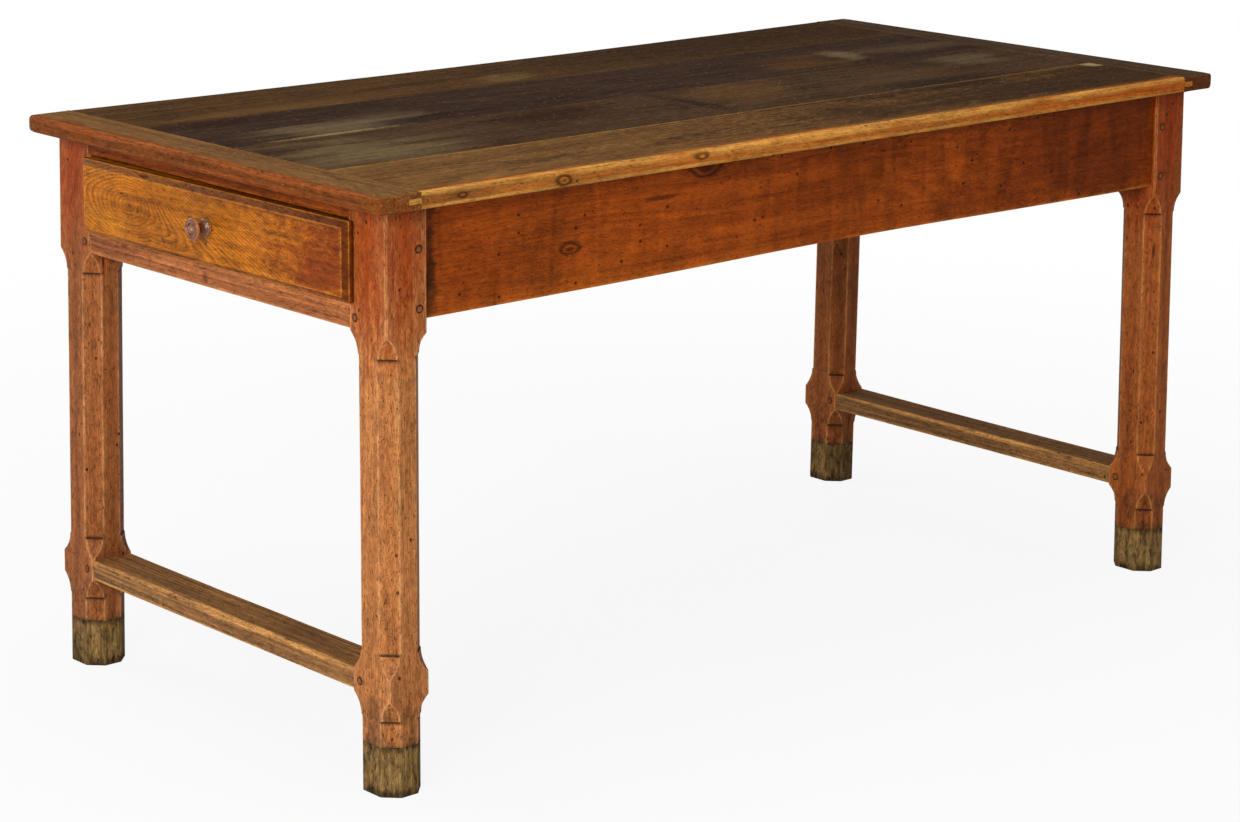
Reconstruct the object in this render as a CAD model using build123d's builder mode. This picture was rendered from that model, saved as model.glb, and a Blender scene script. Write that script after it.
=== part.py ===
"""A farmhouse refectory table with stop-chamfered legs and a drawer in one end.

All sizes are in millimetres. X runs along the table and the drawer opens towards -X,
Y runs across it and Z is up. The origin is on the floor under the middle of the top.
"""
import os
from math import acos, sin, sqrt

from build123d import *

# ------------------------------------------------------------------ driving dimensions
table_length = 1566
table_width = 756
table_height = 760

# boarded top
top_thick = 22.5
overhang_end = 33.5
overhang_side = 26
cleat_width = 68
board_joints = [-196, 0, 197]  # Y of the three glued joints between the boards
tongue_thick = 8
tongue_long = 19
tongue_below_top = 7
top_corner_radius = 10
cleat_edge_radius = 6.5
board_edge_radius = 4.5

# legs: rectangular posts that lean outward towards the floor
leg_along = 63.5
leg_across = 72.5
lean_along = 9
lean_across = 12.5
chamfer_face = 18.6  # width taken off each face by a chamfer
stop_step = 1.5  # how far a stop stands proud of its chamfer
stop_length = 28
arch_tip = 582.5
shield_tip = 154.5
lower_arch_tip = 127
foot_joint = 65
foot_dowel_radius = 10
foot_dowel_half = 32

# aprons, rails and stretchers
apron_bottom = 596.5
apron_thick = 24
apron_recess = 5
rail_depth = 30
rail_bottom = 582.5
rail_top = 613.5
upper_rail_bottom = 717
upper_rail_depth = 40
dovetail_long = 25
dovetail_neck = 24
dovetail_tail = 34
tenon_thick = 12
tenon_long = 42
tenon_shoulder = 10
stretcher_set_in = 1
stretcher_tenon_thick = 13
stretcher_tenon_inset = 12

# pegs that pin the tenons
peg_radius = 4.75
peg_inset = 14
peg_proud = 0.8
peg_length = 46
end_peg_drop = 11.9  # the end apron's pegs sit lower, clear of the side apron's
apron_peg_heights = [685, 612]

# drawer
drawer_depth = 442
side_clearance = 2
lip_clearance = 2
drawer_bottom_edge = 615
front_top = 715
lip_low_y = -292.5
lip_high_y = 282
lip_thick = 10
front_thick = 22
bevel_near = 12  # the bevel round the front is wider at its near end and along its top
bevel_far = 6
bevel_under = 6
bevel_over = 9.5
bevel_deep = 3.5
side_thick = 12
side_top = 707
tail_long = 9
tail_neck = 20
tail_wide = 26
tail_heights = [638, 684]
panel_thick = 8
panel_raise = 6
groove_deep = 5
back_top = 700
knob_y = -3
knob_z = 665
knob_shank = 7
knob_flange = 12
knob_rim = 15
knob_head = 18.6
knob_long = 27.5

# what the drawer runs on
runner_top = 614
runner_thick = 21
runner_wide_inside = 16  # how far a runner stands inside the legs
runner_behind = 12
runner_tenon = 8
guide_height = 26
guide_nail_places = [-640, -500, -360]

# what holds the top down
button_places = [-150, 210, 570]
end_button_y = 170
button_long = 36
button_wide = 30
button_thick = 16
button_tongue = 8
slot_slack = 0.5
button_screw_long = 28
rail_screw_y = 180
rail_screw_long = 27

# nails and screws
nail_radius = 1.4
nail_head_radius = 3.5
nail_head_thick = 1
bottom_nail_long = 24
bottom_nail_places = [-160, 0, 160]
screw_radius = 2.2
screw_head_radius = 4.2

# ------------------------------------------------------------------ worked out from those
half_length = table_length / 2
half_width = table_width / 2
leg_height = table_height - top_thick
outer_x = half_length - overhang_end  # outside of the legs, at the top
outer_y = half_width - overhang_side
inner_x = outer_x - leg_along
inner_y = outer_y - leg_across
mid_x = outer_x - leg_along / 2
mid_y = outer_y - leg_across / 2
tenon_reach_x = inner_x + tenon_long
tenon_reach_y = inner_y + tenon_long
apron_inner = outer_y - apron_recess - apron_thick
end_apron_inner = outer_x - apron_recess - apron_thick
rail_back = -outer_x + rail_depth
upper_rail_back = -outer_x + upper_rail_depth

cleat_joint = half_length - cleat_width
tongue_top = table_height - tongue_below_top
tongue_bottom = tongue_top - tongue_thick

chamfer_depth = chamfer_face / sqrt(2)
stop_depth = chamfer_depth - stop_step
cove_radius = (stop_length**2 + stop_depth**2) / (2 * stop_depth)
cove_rise = cove_radius * sin(acos(1 - stop_depth / cove_radius) / 2)
cutter_reach = 8  # how far a chamfer cutter stands outside its arris

rail_peg_z = (rail_bottom + rail_top) / 2
stretcher_z = (shield_tip + lower_arch_tip) / 2

front_face = -outer_x - lip_clearance - lip_thick
lip_back = front_face + lip_thick
front_rear = front_face + front_thick
box_back = front_face + drawer_depth
box_half = inner_y - side_clearance
box_inside = box_half - side_thick
panel_bottom = drawer_bottom_edge + panel_raise
panel_top = panel_bottom + panel_thick
back_rear = box_back - side_thick
back_front = back_rear - side_thick

runner_inner = inner_y - runner_wide_inside
runner_back = box_back + runner_behind
runner_bottom = runner_top - runner_thick
guide_nail_z = runner_top + guide_height / 2
button_bottom = leg_height - button_thick
button_tongue_top = button_bottom + button_thick / 2

ends = {"drawer": -1, "plain": 1}
sides = {"near": -1, "far": 1}
corners = [(-1, -1), (-1, 1), (1, -1), (1, 1)]


# ------------------------------------------------------------------ helpers
def lean(height):
    """How far a leg stands outside its place at the top, along X and Y, at a height."""
    share = 1 - height / leg_height
    return lean_along * share, lean_across * share


def block(corner_a, corner_b, mode=Mode.ADD):
    """A box between two opposite corners, in the part being built."""
    low = [min(a, b) for a, b in zip(corner_a, corner_b)]
    size = [abs(b - a) for a, b in zip(corner_a, corner_b)]
    with Locations(tuple(low)):
        Box(*size, align=(Align.MIN, Align.MIN, Align.MIN), mode=mode)


def cut_away(pieces):
    """Take other finished pieces out of the part being built."""
    for piece in pieces:
        add(piece, mode=Mode.SUBTRACT)


def save(piece, name):
    """Label a finished piece and write it as its own STEP file."""
    piece.part.label = name
    export_step(piece.part, f"parts/{name}.step")
    print(f"{name}: {len(piece.part.solids())} solid(s), {piece.part.volume / 1000:.1f} cm3")


def round_bar(start, direction, radius, length):
    """A round peg, dowel or nail shank from a start point, in the part being built."""
    with BuildSketch(Plane(start, z_dir=direction)) as outline:
        Circle(radius)
    extrude(outline.sketch, amount=length)


def nail(start, direction, length):
    """A nail with its flat head sunk flush at the start point."""
    round_bar(start, direction, nail_radius, length)
    round_bar(start, direction, nail_head_radius, nail_head_thick)


def screw(place, length):
    """A countersunk screw that points up from a place on a flat underside."""
    with Locations(place):
        Cylinder(screw_radius, length, align=(Align.CENTER, Align.CENTER, Align.MIN))
        Cone(screw_head_radius, screw_radius, screw_radius, align=(Align.CENTER, Align.CENTER, Align.MIN))


def cove_middle(tip, ledge):
    """Depth and height of the middle of a stop's hollow, between its tip and its ledge."""
    depth = stop_depth - cove_radius + sqrt(cove_radius**2 - cove_rise**2)
    return depth, ledge + (cove_rise if tip > ledge else -cove_rise)


def shaped_post(end, side):
    """A whole leg with its foot: a leaning post whose chamfers end in hollow stops."""
    shift_x, shift_y = lean(0)
    foot = Vector(end * (mid_x + shift_x), side * (mid_y + shift_y), 0)
    upward = Vector(end * mid_x, side * mid_y, leg_height) - foot
    arch_ledge = arch_tip - stop_length
    shield_ledge = shield_tip + stop_length
    lower_ledge = lower_arch_tip - stop_length
    shaft = [(-cutter_reach, arch_tip + cutter_reach), (0, arch_tip), cove_middle(arch_tip, arch_ledge),
             (stop_depth, arch_ledge), (chamfer_depth, arch_ledge), (chamfer_depth, shield_ledge),
             (stop_depth, shield_ledge), cove_middle(shield_tip, shield_ledge),
             (0, shield_tip), (-cutter_reach, shield_tip - cutter_reach)]
    toe = [(-cutter_reach, lower_arch_tip + cutter_reach), (0, lower_arch_tip),
           cove_middle(lower_arch_tip, lower_ledge), (stop_depth, lower_ledge),
           (chamfer_depth, lower_ledge), (chamfer_depth, -1), (-cutter_reach, -1)]
    with BuildPart() as post:
        with BuildSketch(Plane(origin=foot)):
            Rectangle(leg_along, leg_across)
        extrude(amount=upward.length, dir=upward.normalized())
        for cx, cy in corners:
            outward = Vector(cx, cy, 0).normalized()
            arris = foot + Vector(cx * leg_along / 2, cy * leg_across / 2, 0)
            drift = upward.dot(outward) / leg_height
            # (depth, height) pairs become points beside the leaning arris
            s = [(drift * z - depth, z) for depth, z in shaft]
            t = [(drift * z - depth, z) for depth, z in toe]
            with BuildSketch(Plane(origin=arris, x_dir=outward, z_dir=outward.cross(Vector(0, 0, 1)))):
                with BuildLine():
                    Polyline(s[0], s[1])
                    ThreePointArc(s[1], s[2], s[3])
                    Polyline(*s[3:7])
                    ThreePointArc(s[6], s[7], s[8])
                    Polyline(s[8], s[9], s[0])
                make_face()
                with BuildLine():
                    Polyline(t[0], t[1])
                    ThreePointArc(t[1], t[2], t[3])
                    Polyline(*t[3:], t[0])
                make_face()
            extrude(amount=chamfer_face, both=True, mode=Mode.SUBTRACT)
    return post.part


os.makedirs("parts", exist_ok=True)
posts = {(e, s): shaped_post(ends[e], sides[s]) for e in ends for s in sides}
all_posts = list(posts.values())

# ------------------------------------------------------------------ pegs, dowels, nails, screws
with BuildPart() as apron_pegs:
    for side in sides.values():
        for height in apron_peg_heights:
            lean_x, lean_y = lean(height)
            for end in ends.values():
                start = (end * (inner_x + peg_inset), side * (outer_y + lean_y + peg_proud), height)
                round_bar(start, (0, -side, 0), peg_radius, peg_length)
            start = (outer_x + lean_x + peg_proud, side * (inner_y + peg_inset), height - end_peg_drop)
            round_bar(start, (-1, 0, 0), peg_radius, peg_length)
save(apron_pegs, "apron_pegs")

with BuildPart() as rail_pegs:
    for side in sides.values():
        start = (-outer_x - lean(rail_peg_z)[0] - peg_proud, side * (inner_y + peg_inset), rail_peg_z)
        round_bar(start, (1, 0, 0), peg_radius, peg_length)
save(rail_pegs, "rail_pegs")

with BuildPart() as stretcher_pegs:
    for cx, cy in corners:
        lean_x, lean_y = lean(stretcher_z)
        start = (cx * (outer_x + lean_x + peg_proud), cy * (inner_y + lean_y + peg_inset), stretcher_z)
        round_bar(start, (-cx, 0, 0), peg_radius, leg_along + 2 * peg_proud)
save(stretcher_pegs, "stretcher_pegs")

with BuildPart() as foot_dowels:
    for cx, cy in corners:
        lean_x, lean_y = lean(foot_joint)
        start = (cx * (mid_x + lean_x), cy * (mid_y + lean_y), foot_joint - foot_dowel_half)
        round_bar(start, (0, 0, 1), foot_dowel_radius, 2 * foot_dowel_half)
save(foot_dowels, "foot_dowels")

with BuildPart() as guide_nails:
    for side in sides.values():
        for x in guide_nail_places:
            nail((x, side * inner_y, guide_nail_z), (0, side, 0), apron_inner - inner_y + apron_thick / 2)
save(guide_nails, "guide_nails")

with BuildPart() as top_button_screws:
    for side in sides.values():
        for x in button_places:
            screw((x, side * (apron_inner - button_long / 2), button_bottom), button_screw_long)
        screw((end_apron_inner - button_long / 2, side * end_button_y, button_bottom), button_screw_long)
save(top_button_screws, "top_button_screws")

with BuildPart() as rail_screws:
    for side in sides.values():
        screw((-outer_x + upper_rail_depth / 2, side * rail_screw_y, upper_rail_bottom), rail_screw_long)
save(rail_screws, "rail_screws")

# ------------------------------------------------------------------ the boarded top
board_edges = [-half_width, *board_joints, half_width]
for index, name in enumerate(["near", "mid_near", "mid_far", "far"]):
    low_y, high_y = board_edges[index], board_edges[index + 1]
    with BuildPart() as board:
        block((-cleat_joint, low_y, leg_height), (cleat_joint, high_y, table_height))
        if name in sides:
            outer_edges = board.edges().filter_by(Axis.X).filter_by(
                lambda edge: abs(edge.center().Y) > half_width - 1)
            fillet(outer_edges, radius=board_edge_radius)
        reach = cleat_joint + tongue_long
        block((-reach, low_y, tongue_bottom), (reach, high_y, tongue_top))
        cut_away([top_button_screws.part])
    save(board, f"top_board_{name}")

for end_name, end in ends.items():
    with BuildPart() as cleat:
        block((end * cleat_joint, -half_width, leg_height), (end * half_length, half_width, table_height))
        outer_uprights = cleat.edges().filter_by(Axis.Z).filter_by(
            lambda edge: abs(edge.center().X) > half_length - 1)
        fillet(outer_uprights, radius=top_corner_radius)
        levels = cleat.edges().group_by(Axis.Z)
        rims = (levels[0] + levels[-1]).filter_by(lambda edge: abs(edge.center().X) > cleat_joint + 1)
        fillet(rims, radius=cleat_edge_radius)
        block((end * cleat_joint, -half_width, tongue_bottom),
              (end * (cleat_joint + tongue_long), half_width, tongue_top), mode=Mode.SUBTRACT)
        cut_away([rail_screws.part])
    save(cleat, f"cleat_{end_name}_end")

# ------------------------------------------------------------------ aprons
side_aprons = {}
for side_name, side in sides.items():
    face_y = side * (outer_y - apron_recess)
    tenon_y = side * (apron_inner + apron_thick / 2)
    with BuildPart() as apron:
        block((-mid_x, face_y, apron_bottom), (mid_x, side * apron_inner, leg_height))
        cut_away(all_posts)
        block((-tenon_reach_x, tenon_y - tenon_thick / 2, apron_bottom + tenon_shoulder),
              (tenon_reach_x, tenon_y + tenon_thick / 2, leg_height - 2 * tenon_shoulder))
        for x in button_places:
            half_slot = button_wide / 2 + slot_slack
            block((x - half_slot, side * apron_inner, button_bottom - slot_slack),
                  (x + half_slot, side * (apron_inner + button_tongue + slot_slack),
                   button_tongue_top + slot_slack), mode=Mode.SUBTRACT)
        cut_away([apron_pegs.part, guide_nails.part])
    side_aprons[side_name] = apron
    save(apron, f"apron_{side_name}")

with BuildPart() as apron_plain_end:
    tenon_x = end_apron_inner + apron_thick / 2
    block((end_apron_inner, -mid_y, apron_bottom), (outer_x - apron_recess, mid_y, leg_height))
    cut_away(all_posts)
    block((tenon_x - tenon_thick / 2, -tenon_reach_y, apron_bottom + tenon_shoulder),
          (tenon_x + tenon_thick / 2, tenon_reach_y, leg_height - 2 * tenon_shoulder))
    for y in (-end_button_y, end_button_y):
        half_slot = button_wide / 2 + slot_slack
        block((end_apron_inner, y - half_slot, button_bottom - slot_slack),
              (end_apron_inner + button_tongue + slot_slack, y + half_slot,
               button_tongue_top + slot_slack), mode=Mode.SUBTRACT)
    cut_away([apron_pegs.part])
save(apron_plain_end, "apron_plain_end")

# ------------------------------------------------------------------ rails round the drawer
with BuildPart() as rail_over_drawer:
    block((-outer_x, -mid_y, upper_rail_bottom), (upper_rail_back, mid_y, leg_height))
    cut_away(all_posts)
    rail_x = -outer_x + upper_rail_depth / 2
    for side in sides.values():
        root = side * (inner_y - 1)
        tip = side * (inner_y + dovetail_long)
        with BuildSketch(Plane.XY.offset(upper_rail_bottom)):
            with BuildLine():
                Polyline((rail_x - dovetail_neck / 2, root), (rail_x + dovetail_neck / 2, root),
                         (rail_x + dovetail_tail / 2, tip), (rail_x - dovetail_tail / 2, tip), close=True)
            make_face()
        extrude(amount=leg_height - upper_rail_bottom)
    cut_away([rail_screws.part])
save(rail_over_drawer, "rail_over_drawer")

with BuildPart() as rail_under_drawer:
    block((-outer_x, -mid_y, rail_bottom), (rail_back, mid_y, rail_top))
    cut_away(all_posts)
    tenon_x = -outer_x + rail_depth / 2
    block((tenon_x - tenon_thick / 2, -tenon_reach_y, rail_bottom + tenon_shoulder / 2),
          (tenon_x + tenon_thick / 2, tenon_reach_y, rail_top - tenon_shoulder / 2))
    for side in sides.values():
        block((rail_back - runner_tenon, side * runner_inner, runner_bottom + tenon_shoulder / 2),
              (rail_back, side * inner_y, rail_top - tenon_shoulder / 2), mode=Mode.SUBTRACT)
    cut_away([rail_pegs.part])
save(rail_under_drawer, "rail_under_drawer")

# ------------------------------------------------------------------ stretchers
stretchers = {}
for end_name, end in ends.items():
    lean_x, lean_y = lean(stretcher_z)
    face_x = end * (outer_x + lean_x - stretcher_set_in)
    back_x = end * (inner_x + lean_x + stretcher_set_in)
    tenon_tip = inner_y + lean_y + tenon_long
    half_tenon = stretcher_tenon_thick / 2
    with BuildPart() as stretcher:
        block((face_x, -mid_y, lower_arch_tip), (back_x, mid_y, shield_tip))
        cut_away(all_posts)
        block((face_x - end * stretcher_tenon_inset, -tenon_tip, stretcher_z - half_tenon),
              (back_x + end * stretcher_tenon_inset, tenon_tip, stretcher_z + half_tenon))
        cut_away([stretcher_pegs.part])
    stretchers[end_name] = stretcher
    save(stretcher, f"stretcher_{end_name}_end")

# ------------------------------------------------------------------ legs and spliced feet
let_in = [side_aprons["near"].part, side_aprons["far"].part, apron_plain_end.part, rail_over_drawer.part,
          rail_under_drawer.part, stretchers["drawer"].part, stretchers["plain"].part,
          apron_pegs.part, rail_pegs.part, stretcher_pegs.part, foot_dowels.part]

for (end_name, side_name), post in posts.items():
    with BuildPart() as leg:
        add(post)
        split(bisect_by=Plane.XY.offset(foot_joint), keep=Keep.TOP)
        cut_away(let_in)
    save(leg, f"leg_{end_name}_{side_name}")

    with BuildPart() as foot:
        add(post)
        split(bisect_by=Plane.XY.offset(foot_joint), keep=Keep.BOTTOM)
        cut_away([foot_dowels.part])
    save(foot, f"foot_{end_name}_{side_name}")

# ------------------------------------------------------------------ runners, guides and kickers
for side_name, side in sides.items():
    with BuildPart() as runner:
        block((rail_back, side * runner_inner, runner_bottom), (runner_back, side * apron_inner, runner_top))
        cut_away(all_posts)
        block((rail_back - runner_tenon, side * runner_inner, runner_bottom + tenon_shoulder / 2),
              (rail_back, side * inner_y, rail_top - tenon_shoulder / 2))
    save(runner, f"drawer_runner_{side_name}")

    with BuildPart() as guide:
        block((-inner_x, side * inner_y, runner_top),
              (runner_back, side * apron_inner, runner_top + guide_height))
        cut_away(all_posts + [guide_nails.part])
    save(guide, f"drawer_guide_{side_name}")

    with BuildPart() as kicker:
        block((upper_rail_back, side * runner_inner, upper_rail_bottom),
              (runner_back, side * apron_inner, leg_height))
        cut_away(all_posts)
    save(kicker, f"drawer_kicker_{side_name}")

# ------------------------------------------------------------------ buttons that hold the top
with BuildPart() as top_buttons:
    for side in sides.values():
        for x in button_places:
            half = button_wide / 2
            block((x - half, side * (apron_inner - button_long), button_bottom),
                  (x + half, side * apron_inner, leg_height))
            block((x - half, side * apron_inner, button_bottom),
                  (x + half, side * (apron_inner + button_tongue), button_tongue_top))
        low_y = side * end_button_y - button_wide / 2
        high_y = low_y + button_wide
        block((end_apron_inner - button_long, low_y, button_bottom), (end_apron_inner, high_y, leg_height))
        block((end_apron_inner, low_y, button_bottom),
              (end_apron_inner + button_tongue, high_y, button_tongue_top))
    cut_away([top_button_screws.part])
save(top_buttons, "top_buttons")

# ------------------------------------------------------------------ drawer
with BuildPart() as drawer_knob:
    with BuildSketch(Plane((front_face, knob_y, knob_z), x_dir=(-1, 0, 0), z_dir=(0, -1, 0))):
        with BuildLine():
            Polyline((-front_thick, 0), (-front_thick, knob_shank), (0, knob_shank), (0, knob_flange),
                     (2.4, knob_flange))
            ThreePointArc((2.4, knob_flange), (3.9, knob_flange - 0.8), (4.4, knob_flange - 2.4))
            ThreePointArc((4.4, knob_flange - 2.4), (10, knob_shank - 0.5), (knob_head, knob_rim - 2.8))
            ThreePointArc((knob_head, knob_rim - 2.8), (knob_head + 2.2, knob_rim), (knob_head + 4.8, knob_rim - 2))
            Polyline((knob_head + 4.8, knob_rim - 2), (knob_head + 5.3, 9.6), (knob_head + 4.6, 8.8),
                     (knob_head + 5, 5.4))
            ThreePointArc((knob_head + 5, 5.4), (knob_head + 7.8, 3.9), (knob_long, 1))
            Polyline((knob_long, 1), (knob_long, 0), (-front_thick, 0))
        make_face()
    revolve(axis=Axis((front_face, knob_y, knob_z), (1, 0, 0)))
save(drawer_knob, "drawer_knob")

with BuildPart() as drawer_bottom_nails:
    for y in bottom_nail_places:
        nail((back_rear - side_thick / 2, y, panel_bottom), (0, 0, 1), bottom_nail_long)
save(drawer_bottom_nails, "drawer_bottom_nails")

with BuildPart() as drawer_bottom:
    panel_half = box_inside + groove_deep
    block((front_rear - groove_deep, -panel_half, panel_bottom), (back_rear, panel_half, panel_top))
    cut_away([drawer_bottom_nails.part])
save(drawer_bottom, "drawer_bottom")

with BuildPart() as drawer_back:
    back_half = box_inside + groove_deep
    block((back_front, -back_half, panel_top), (back_rear, back_half, back_top))
    cut_away([drawer_bottom_nails.part])
save(drawer_back, "drawer_back")

drawer_sides = []
for side_name, side in sides.items():
    with BuildPart() as drawer_side:
        block((front_rear, side * box_inside, drawer_bottom_edge), (box_back, side * box_half, side_top))
        for height in tail_heights:
            with BuildSketch(Plane((front_rear, side * box_inside, height), x_dir=(-1, 0, 0),
                                   z_dir=(0, side, 0))):
                with BuildLine():
                    Polyline((-1, -tail_neck / 2), (tail_long, -tail_wide / 2), (tail_long, tail_wide / 2),
                             (-1, tail_neck / 2), close=True)
                make_face()
            extrude(amount=side_thick)
        cut_away([drawer_bottom.part, drawer_back.part])
    drawer_sides.append(drawer_side.part)
    save(drawer_side, f"drawer_side_{side_name}")

with BuildPart() as drawer_front:
    for face_x, share in ((front_face + bevel_deep, 0), (front_face, 1)):
        low_y, high_y = lip_low_y + share * bevel_near, lip_high_y - share * bevel_far
        low_z, high_z = drawer_bottom_edge + share * bevel_under, front_top - share * bevel_over
        centre = (face_x, (low_y + high_y) / 2, (low_z + high_z) / 2)
        with BuildSketch(Plane(centre, x_dir=(0, 1, 0), z_dir=(-1, 0, 0))):
            Rectangle(high_y - low_y, high_z - low_z)
    loft()
    block((front_face + bevel_deep, lip_low_y, drawer_bottom_edge), (lip_back, lip_high_y, front_top))
    block((lip_back, -box_half, drawer_bottom_edge), (front_rear, box_half, front_top))
    cut_away([drawer_knob.part, drawer_bottom.part, *drawer_sides])
save(drawer_front, "drawer_front")
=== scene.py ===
# %% [markdown]
# # A farmhouse refectory table with a drawer in its end
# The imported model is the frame: it fixes every size, place and joint. This lesson only dresses it.
# Each wooden piece that shows is rebuilt as a worn, hand-planed version of itself in the same place,
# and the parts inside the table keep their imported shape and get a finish.

# %% Load the frame
import math

import bmesh
import bpy
from mathutils import Matrix, Vector, noise


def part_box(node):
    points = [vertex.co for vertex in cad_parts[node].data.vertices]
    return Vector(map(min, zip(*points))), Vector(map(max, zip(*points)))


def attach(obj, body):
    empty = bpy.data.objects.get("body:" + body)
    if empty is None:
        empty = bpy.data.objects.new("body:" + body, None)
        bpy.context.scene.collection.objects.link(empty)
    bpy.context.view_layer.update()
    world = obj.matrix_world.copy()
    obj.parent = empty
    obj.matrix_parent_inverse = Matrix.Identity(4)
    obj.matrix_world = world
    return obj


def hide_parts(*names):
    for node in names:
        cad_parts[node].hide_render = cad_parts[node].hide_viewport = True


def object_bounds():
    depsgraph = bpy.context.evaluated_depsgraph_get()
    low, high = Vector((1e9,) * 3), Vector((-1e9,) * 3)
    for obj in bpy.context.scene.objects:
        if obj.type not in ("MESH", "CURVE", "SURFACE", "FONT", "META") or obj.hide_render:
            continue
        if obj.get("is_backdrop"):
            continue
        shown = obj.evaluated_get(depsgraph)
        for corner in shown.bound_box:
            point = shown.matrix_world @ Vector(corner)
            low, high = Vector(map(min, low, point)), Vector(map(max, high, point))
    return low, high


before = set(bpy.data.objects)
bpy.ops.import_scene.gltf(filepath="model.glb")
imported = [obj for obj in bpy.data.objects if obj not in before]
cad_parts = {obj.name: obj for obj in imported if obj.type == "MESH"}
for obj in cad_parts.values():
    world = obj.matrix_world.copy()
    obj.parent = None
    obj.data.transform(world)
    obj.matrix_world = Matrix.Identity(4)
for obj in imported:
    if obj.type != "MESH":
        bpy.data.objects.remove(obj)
cad_low, cad_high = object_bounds()
MM = 0.001
print("the table measures", [round(size, 3) for size in cad_high - cad_low], "metres")

# %% [markdown]
# ## Camera
# A long lens far away keeps the legs nearly parallel. A camera looks along its own -Z, so the matrix is
# put together from its right, up and backward directions, with a small roll about the line of sight.

# %% Camera
camera_place = Vector((-3.08996, -3.342277, 1.480549))
turn, tilt, roll = math.radians(47.728), math.radians(-14.563), math.radians(0.642)
ahead = Vector((math.cos(turn) * math.cos(tilt), math.sin(turn) * math.cos(tilt), math.sin(tilt)))
level = Vector((math.sin(turn), -math.cos(turn), 0))
upward = level.cross(ahead)
camera_right = math.cos(roll) * level + math.sin(roll) * upward
camera_up = math.cos(roll) * upward - math.sin(roll) * level
lens = bpy.data.cameras.new("camera")
lens.lens, lens.sensor_width = 94.85, 36
camera = bpy.data.objects.new("camera", lens)
bpy.context.scene.collection.objects.link(camera)
facing = Matrix((camera_right, camera_up, -ahead)).transposed().to_4x4()
camera.matrix_world = Matrix.Translation(camera_place) @ facing
bpy.context.scene.camera = camera
print("camera", round(camera_place.length, 2), "m from the middle of the floor")

# %% [markdown]
# ## Finishes are recipes
# A finish is a chain of small nodes. Writing each one by hand hides the idea, so this little workbench
# adds a node, sets its inputs and hands back its output. Numbers, colours and other outputs can all be
# given as inputs.

# %% A workbench for finishes
def tone(red, green, blue):
    """A colour given as ordinary screen values, 0 to 255, turned into light values for the shader."""
    return tuple((c / 12.92 if c <= 0.04045 else ((c + 0.055) / 1.055) ** 2.4)
                 for c in (red / 255, green / 255, blue / 255))


class Bench:
    """Lays out the nodes of one finish."""

    def __init__(self, name):
        self.material = bpy.data.materials.new(name)
        self.material.use_nodes = True
        self.nodes, self.links = self.material.node_tree.nodes, self.material.node_tree.links
        self.shader = self.nodes["Principled BSDF"]

    def put(self, socket, value):
        """Feed an input with another node's output, a number, a vector or a colour."""
        if isinstance(value, bpy.types.NodeSocket):
            self.links.new(value, socket)
        elif socket.type == "RGBA":
            socket.default_value = (*value, 1)
        else:
            socket.default_value = value

    def reckon(self, kind, *values):
        """One step of arithmetic."""
        node = self.nodes.new("ShaderNodeMath")
        node.operation = kind
        for socket, value in zip(node.inputs, values):
            self.put(socket, value)
        return node.outputs[0]

    def plus(self, first, second):
        """Add two numbers."""
        return self.reckon("ADD", first, second)

    def minus(self, first, second):
        """Take the second number from the first."""
        return self.reckon("SUBTRACT", first, second)

    def times(self, first, second):
        """Multiply two numbers."""
        return self.reckon("MULTIPLY", first, second)

    def larger(self, first, second):
        """The larger of two numbers."""
        return self.reckon("MAXIMUM", first, second)

    def swing(self, cloud, reach):
        """A cloud between 0 and 1, turned into a number that swings both ways round 0."""
        return self.times(self.minus(cloud, 0.5), reach)

    def mix(self, share, first, second, blend="MIX"):
        """Blend two colours."""
        node = self.nodes.new("ShaderNodeMix")
        node.data_type, node.blend_type = "RGBA", blend
        for index, value in ((0, share), (6, first), (7, second)):
            self.put(node.inputs[index], value)
        return node.outputs[2]

    def ease(self, value, low, high, start=0.0, stop=1.0):
        """A smooth step from start to stop while value goes from low to high."""
        node = self.nodes.new("ShaderNodeMapRange")
        node.interpolation_type = "SMOOTHSTEP"
        for socket, item in zip(node.inputs, (value, low, high, start, stop)):
            self.put(socket, item)
        return node.outputs[0]

    def vector(self, x, y, z):
        """Three numbers as one place."""
        node = self.nodes.new("ShaderNodeCombineXYZ")
        for socket, value in zip(node.inputs, (x, y, z)):
            self.put(socket, value)
        return node.outputs[0]

    def cloud(self, place, detail=2.0, rough=0.5, bend=0.0):
        """Soft random mottling between 0 and 1."""
        node = self.nodes.new("ShaderNodeTexNoise")
        settings = {"Vector": place, "Scale": 1.0, "Detail": detail, "Roughness": rough, "Distortion": bend}
        for socket, value in settings.items():
            self.put(node.inputs[socket], value)
        return node.outputs[0]

    def cells(self, place):
        """Scattered points: the distance to the nearest one and a random number that belongs to it."""
        node = self.nodes.new("ShaderNodeTexVoronoi")
        self.put(node.inputs["Vector"], place)
        self.put(node.inputs["Scale"], 1.0)
        pick = self.nodes.new("ShaderNodeSeparateColor")
        self.links.new(node.outputs["Color"], pick.inputs[0])
        return node.outputs["Distance"], pick.outputs[0]

    def reading(self, name):
        """A number stored on the points of the mesh, such as how pale an arris is painted for use and
        highlight.
        """
        node = self.nodes.new("ShaderNodeAttribute")
        node.attribute_name = name
        return node.outputs["Fac"]

    def place(self):
        """The place on the piece, along X, Y and Z in metres."""
        node = self.nodes.new("ShaderNodeTexCoord")
        split = self.nodes.new("ShaderNodeSeparateXYZ")
        self.links.new(node.outputs["Object"], split.inputs[0])
        return split.outputs[0], split.outputs[1], split.outputs[2]

    def bump(self, height, depth):
        """Fine relief, with its depth in metres."""
        node = self.nodes.new("ShaderNodeBump")
        self.put(node.inputs["Height"], height)
        self.put(node.inputs["Distance"], depth)
        self.links.new(node.outputs[0], self.shader.inputs["Normal"])


print("bench ready")
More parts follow.
